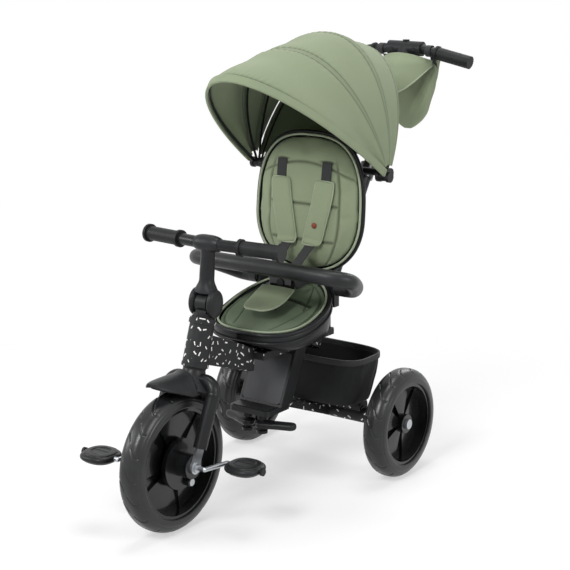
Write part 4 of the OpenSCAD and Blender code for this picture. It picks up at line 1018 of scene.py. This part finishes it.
level = np.linspace(21.5, 118, 60)
taper, waist, flare = ease(18, 50, level), 1.2 * ease(60, 100, level), ease(98, 118, level)
column("stem_shell", level, mix(29, 15.2, taper) - waist + 3 * flare, mix(19.5, 15.2, taper) - waist + 2 * flare,
       0.0, 2.1, "stem")
level = 1 - 29 * np.cos(np.linspace(0.05, np.pi - 0.05, 40))
round_side = np.sqrt(1 - ((level - 1) / 29.2) ** 2)
for sign, name in both_sides:
    column("stem_cheek_" + name, level, 8.4 * round_side ** 0.5, 24.5 * round_side, sign * 22.8, 2.6)
reach = np.linspace(-30, 30, 50)
clamp_line = metres(knuckle + 122 * rise + stack(reach, 0 * reach, 0 * reach))
clamp_size = 0.001 * mix(18.0, 13.6, np.abs(reach / 30) ** 3)
plastic(rod("stem_clamp", clamp_line, oval(clamp_size, clamp_size), across=(0, 1, 0)), "handlebar")

# %% [markdown]
# ## Tyres
# The tyres are moulded foam with short curved grooves over the tread and two fine lines round each shoulder. A tyre is
# its section turned about the axle, with the grooves taken out of the radius as a function of the turn and of the place
# across. Every wheel stands on the ground, so its radius is the height of its axle.

# %% Tyres
tyre_deep, tyre_half = 30.0, 27


def tyre(name, body, middle, count=720):
    """Section of a tyre, a flat bore and a superellipse crown, turned about the axle;
    each groove crosses the tread as a leaning S, a sine of the place across."""
    turn, across = field(full_turn(count), np.linspace(-1, 1, 65))
    wide, off = np.sin(across * np.pi / 2), np.abs(across)
    bore = np.full((count, 1), middle[2] - tyre_deep)
    lean = 0.16 * np.sin(across * 3.6) + 0.05 * across
    leaf = groove(np.sin(9 * (turn + lean)), 0, 0.13) * ease(0.66, 0.5, off) * ease(0.02, 0.1, off)
    ring = groove(off, 0.75, 0.012) + groove(off, 0.83, 0.012)
    crown = bore + tyre_deep * (1 - np.abs(wide) ** 2.7) ** (1 / 2.3) - 2.4 * np.clip(leaf, 0, 1) - 1.2 * ring
    radius = np.concatenate([bore, crown, bore], 1)
    x = tyre_half * np.concatenate([wide[:, :1] * 0.9, wide, wide[:, -1:] * 0.9], 1)
    points = metres(middle + stack(x, radius * np.sin(turn[:, :1]), radius * np.cos(turn[:, :1])))
    ride(tube(name, points, loop=True), body, tyre_skin, "tyre_foam", name.replace("tread", "tyre"))


tyre("front_tread", "front_wheel", wheel_at)
for sign, name in both_sides:
    tyre("rear_tread_" + name, "rear_wheel_" + name, np.array([sign * 206.0, 0, 122]))

# %% [markdown]
# ## Pedals
# A pedal is a thick rounded slab. Its outline is a superellipse, its rim is rolled, and each face has a raised oval
# with low bars in its middle, so that a shoe grips it.

# %% Pedals
def pedal(name, body):
    """Rings that grow from the middle of a face to the rolled rim: the height is the roll of the rim
    plus the raised oval and the low bars."""
    low, high = (np.array(corner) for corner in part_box(body))
    middle, half = (low + high) / 2, (high - low) / 2
    share, turn = field(np.linspace(0, 1, 50) ** 0.7, full_turn(120))
    x, y = half[0] * share * spow(np.cos(turn), 2 / 2.5), half[1] * share * spow(np.sin(turn), 2 / 2.5)
    thick = 0.0085 * (1 - share ** 7) ** 0.5
    oval_rim = 0.0018 * ease(0.84, 0.8, share) * ease(0.5, 0.54, share)
    bars = 0.0012 * ease(0.5, 0.46, share) * groove(np.sin(y * 260), 1, 0.4)
    face, back = (middle + stack(x, y, way * (thick + oval_rim + bars)) for way in (1, -1))
    plastic(skin(name, face, back, wrap=True), body, body)


pedal("pedal_pad_left", "pedal_left")
pedal("pedal_pad_right", "pedal_right")

# %% [markdown]
# ## Footrests
# Each footrest is a flat paddle with a round end that swings on its pin. Its line runs from the pin out to the tip.

# %% Footrests
foot_turn, foot_tip, foot_round = math.radians(20), 76, 14
run = mix(-16.0, foot_tip, bunched(60, 0.02))
tip, heel = (np.clip(past / foot_round, 0, 1) for past in (run - foot_tip + foot_round, -2 - run))
end = np.maximum((1 - tip ** 2.4) ** 0.5 * (1 - heel ** 2.2) ** 0.5, 0.04)
section = 0.001 * oval((15.5 - 2.5 * ease(10, 40, run)) * end, 8.0 * end ** 0.6, 0.62, 0.8)
for sign, name in both_sides:
    low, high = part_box("footrest_" + name)
    pin = np.array([sign * 19.5, -258.0, (low[2] + high[2]) * 500])
    way = np.array([sign * math.cos(foot_turn), math.sin(foot_turn), 0])
    paddle = rod("footrest_pad_" + name, metres(pin + run[:, None] * way), section, across=np.cross(way, [0, 0, 1.0]))
    plastic(paddle, "footrest_" + name, "footrest_" + name)

# %% [markdown]
# ## Basket
# A soft tub of black cloth hangs in a wire rim over the rear axle. Its plan is a squared oval that narrows towards the
# bottom, its wall has slack folds, and a binding runs round the rim.

# %% Basket
basket_low, basket_top, basket_wire, basket_y, basket_cloth = 160.3, 259.0, 268, -26.0, 2.4


def tub(z, turn, into):
    """Squared oval of power four that narrows downwards; slow and fast sines give the slack of the wall."""
    f = 0.84 + 0.16 * np.clip((z - basket_low) / (basket_wire - basket_low), 0, 1) ** 0.6
    belly = np.sin(np.pi * np.clip((z - basket_low) / (basket_top - basket_low), 0, 1))
    slack = belly * (1.6 * np.sin(turn * 7 + z * 0.03) + 0.8 * np.sin(turn * 19 - z * 0.07))
    less = into + np.maximum(slack, -1)
    return stack((146 * f - less) * spow(np.cos(turn), 0.5), basket_y + (70 * f - less) * spow(np.sin(turn), 0.5), z)


def floor_of(ring, height):
    """Rings that shrink to the middle of the floor."""
    middle = np.array([0.0, basket_y, height])
    shrink = np.array([0.985, 0.93, 0.6, 0.3, 0.0])[:, None, None]
    return middle + (ring[None, :] - middle) * np.array([1, 1, 0]) * shrink


turn = full_turn(160)[None]
walls = np.linspace(basket_top, basket_low + 4, 40)[:, None]
out_wall, in_wall = tub(walls, turn, 0.0), tub(walls, turn, basket_cloth)
cup = metres(np.concatenate([out_wall, floor_of(out_wall[-1], basket_low),
                             floor_of(in_wall[-1], basket_low + basket_cloth)[::-1], in_wall[::-1]]))
basket = tube("basket_tub", cup, laid_out(cup, 0, 0), loop=True)
ride(basket, "frame", tub_cloth, "black_fabric", "basket")
binding = metres(tub(np.full((1, 160), basket_top + 4.5), turn, 0.0)[0])
webbed("basket_binding", binding, 0.0065, 0.005, "frame", "basket_rim", across=(0, 0, 1), loop=True)

# %% [markdown]
# ## Parent's bag
# A soft pouch hangs from the push bar. It is lofted from squared ovals that narrow towards the foot, it sags and
# creases a little, and a flap with a piped edge comes from the handle over the front of the bar.

# %% Bag
bag_top, bag_mid, bag_tall, bag_half, bag_deep = 884.0, 369.0, 162, 74, 23


def pouch(v, turn):
    """Squared oval of power three at height v: closed and narrow at the foot, wide at the mouth,
    creased by slow sines."""
    f = np.sqrt(np.sin(np.pi / 2 * np.clip(3.2 * v + 0.04, 0, 1)))
    wide = mix(0.48, 1, v ** 0.75) * bag_half * f
    deep = bag_deep * (0.5 + 0.5 * np.sin(np.pi * np.clip(0.15 + 0.75 * v, 0, 1))) * f
    crease = (1.1 * np.sin(turn * 5 + v * 9) + 0.6 * np.sin(turn * 13 - v * 17)) * np.sin(np.pi * v)
    return stack((wide + crease) * spow(np.cos(turn), 2 / 3),
                 bag_mid - 16 * (1 - v) + (deep + crease) * spow(np.sin(turn), 2 / 3), bag_top - bag_tall * (1 - v))


rings = metres(shut(pouch(np.linspace(0, 1, 70)[:, None], full_turn(120)[None]), 2))
bag = tube("bag_pouch", rings, laid_out(rings, 50, 0))
ride(bag, "push_handle", sage, "sage_fabric", "parent_bag")


def flap(s, u, out):
    """Cloth from the handle over the bar: u runs across, s runs down, and the middle bulges forward
    past the bar and hangs lowest."""
    swell = mix(37.0, 46.0, ease(0, 0.3, s)) + 40 * s
    return stack(68 * u, 346 - out - swell * (1 - np.abs(u) ** 1.8) ** 0.8,
                 904 - 18 * u ** 2 - s * (12 + 80 * (1 - np.abs(u) ** 2.2)))


s, u = field(np.linspace(0, 1, 40), np.linspace(-1, 1, 90))
front_flap = skin("bag_flap", metres(flap(s, u, 1.8)), metres(flap(s, u, 0.0)), cloth=stack(0.074 * u, 0.09 * s))
ride(front_flap, "push_handle", sage, "sage_fabric")
hem_u = np.linspace(-1, 1, 120)
piped("bag_piping", metres(flap(1.0, hem_u, 0.9)), 0.0019, (0, 1, 0), "push_handle", loop=False)
droop, bar_loop = math.atan(25 / 127), 12.6
t = np.linspace(-0.62 * np.pi, 1.02 * np.pi, 50) + np.pi / 2
loop_line = np.concatenate([stack(0 * t, bar_loop * np.cos(t), bar_loop * np.sin(t)),
                            [[0, 14, -14], [0, 20, -30], [0, 25, -42]]])
for sign, name in both_sides:
    hook = np.array([sign * (45 + 20 * math.cos(droop)), 338.0, 912 - 20 * math.sin(droop)])
    webbed(f"bag_loop_{name}", metres(hook + loop_line), 0.007, 0.0018, "push_handle")

# %% [markdown]
# ## Stage and light
# A pale floor and large soft lamps, as in a studio. Rays from the camera, off a gloss or through glass see white;
# all other rays see a plain grey dome, so the background never lights the trike more than a room would.

# %% Stage and light
dome_light = 0.22
studio = bpy.data.worlds.new("studio")
scene.world = studio
studio.use_nodes = True
dome = Network(studio.node_tree)
sky = dome.tree.nodes["Background"]
dome.put(sky.inputs["Strength"], dome.seen() * (1 - dome_light) + dome_light)
dome.put(sky.inputs["Color"], (1, 1, 1, 1))

ground = np.array([[-40, -40, 0], [40, -40, 0], [40, 40, 0], [-40, 40, 0]], float)
floor = make("floor", ground, np.array([[0, 1, 2, 3]]))
paper = Finish("floor_paper", Base_Color=(0.93, 0.93, 0.93, 1), Roughness=0.9, Specular_IOR_Level=0.0)
far = paper.vector("LENGTH", paper.place(), out="Value")
white = (far.step(0.4, 1.3) * 0.5 + 0.5) * paper.seen()
glow = paper.node("Emission", None, {"Strength": 1.0})
lit = Value(paper, paper.shader.outputs[0])
paper.put(paper.tree.nodes["Material Output"].inputs["Surface"],
          paper.node("MixShader", None, {0: white, 1: lit, 2: glow}))
floor.data.materials.append(paper.material)

lamps = (("key", (0.2, -3.4, 3.2), 1.2, 105), ("fill", (3.4, -0.2, 2.0), 1.4, 40),
         ("side", (-2.8, -2.2, 1.8), 1.2, 40), ("top", (0, 0.4, 3.8), 1.8, 60), ("back", (-0.6, 3.4, 2.4), 1.6, 34))
for name, spot, size, power in lamps:
    lamp = bpy.data.lights.new(name, "AREA")
    lamp.size, lamp.energy = size, power
    stand(bpy.data.objects.new(name, lamp), spot, (0, 0, 0.4))
print(len(lamps), "soft lamps and a grey dome")
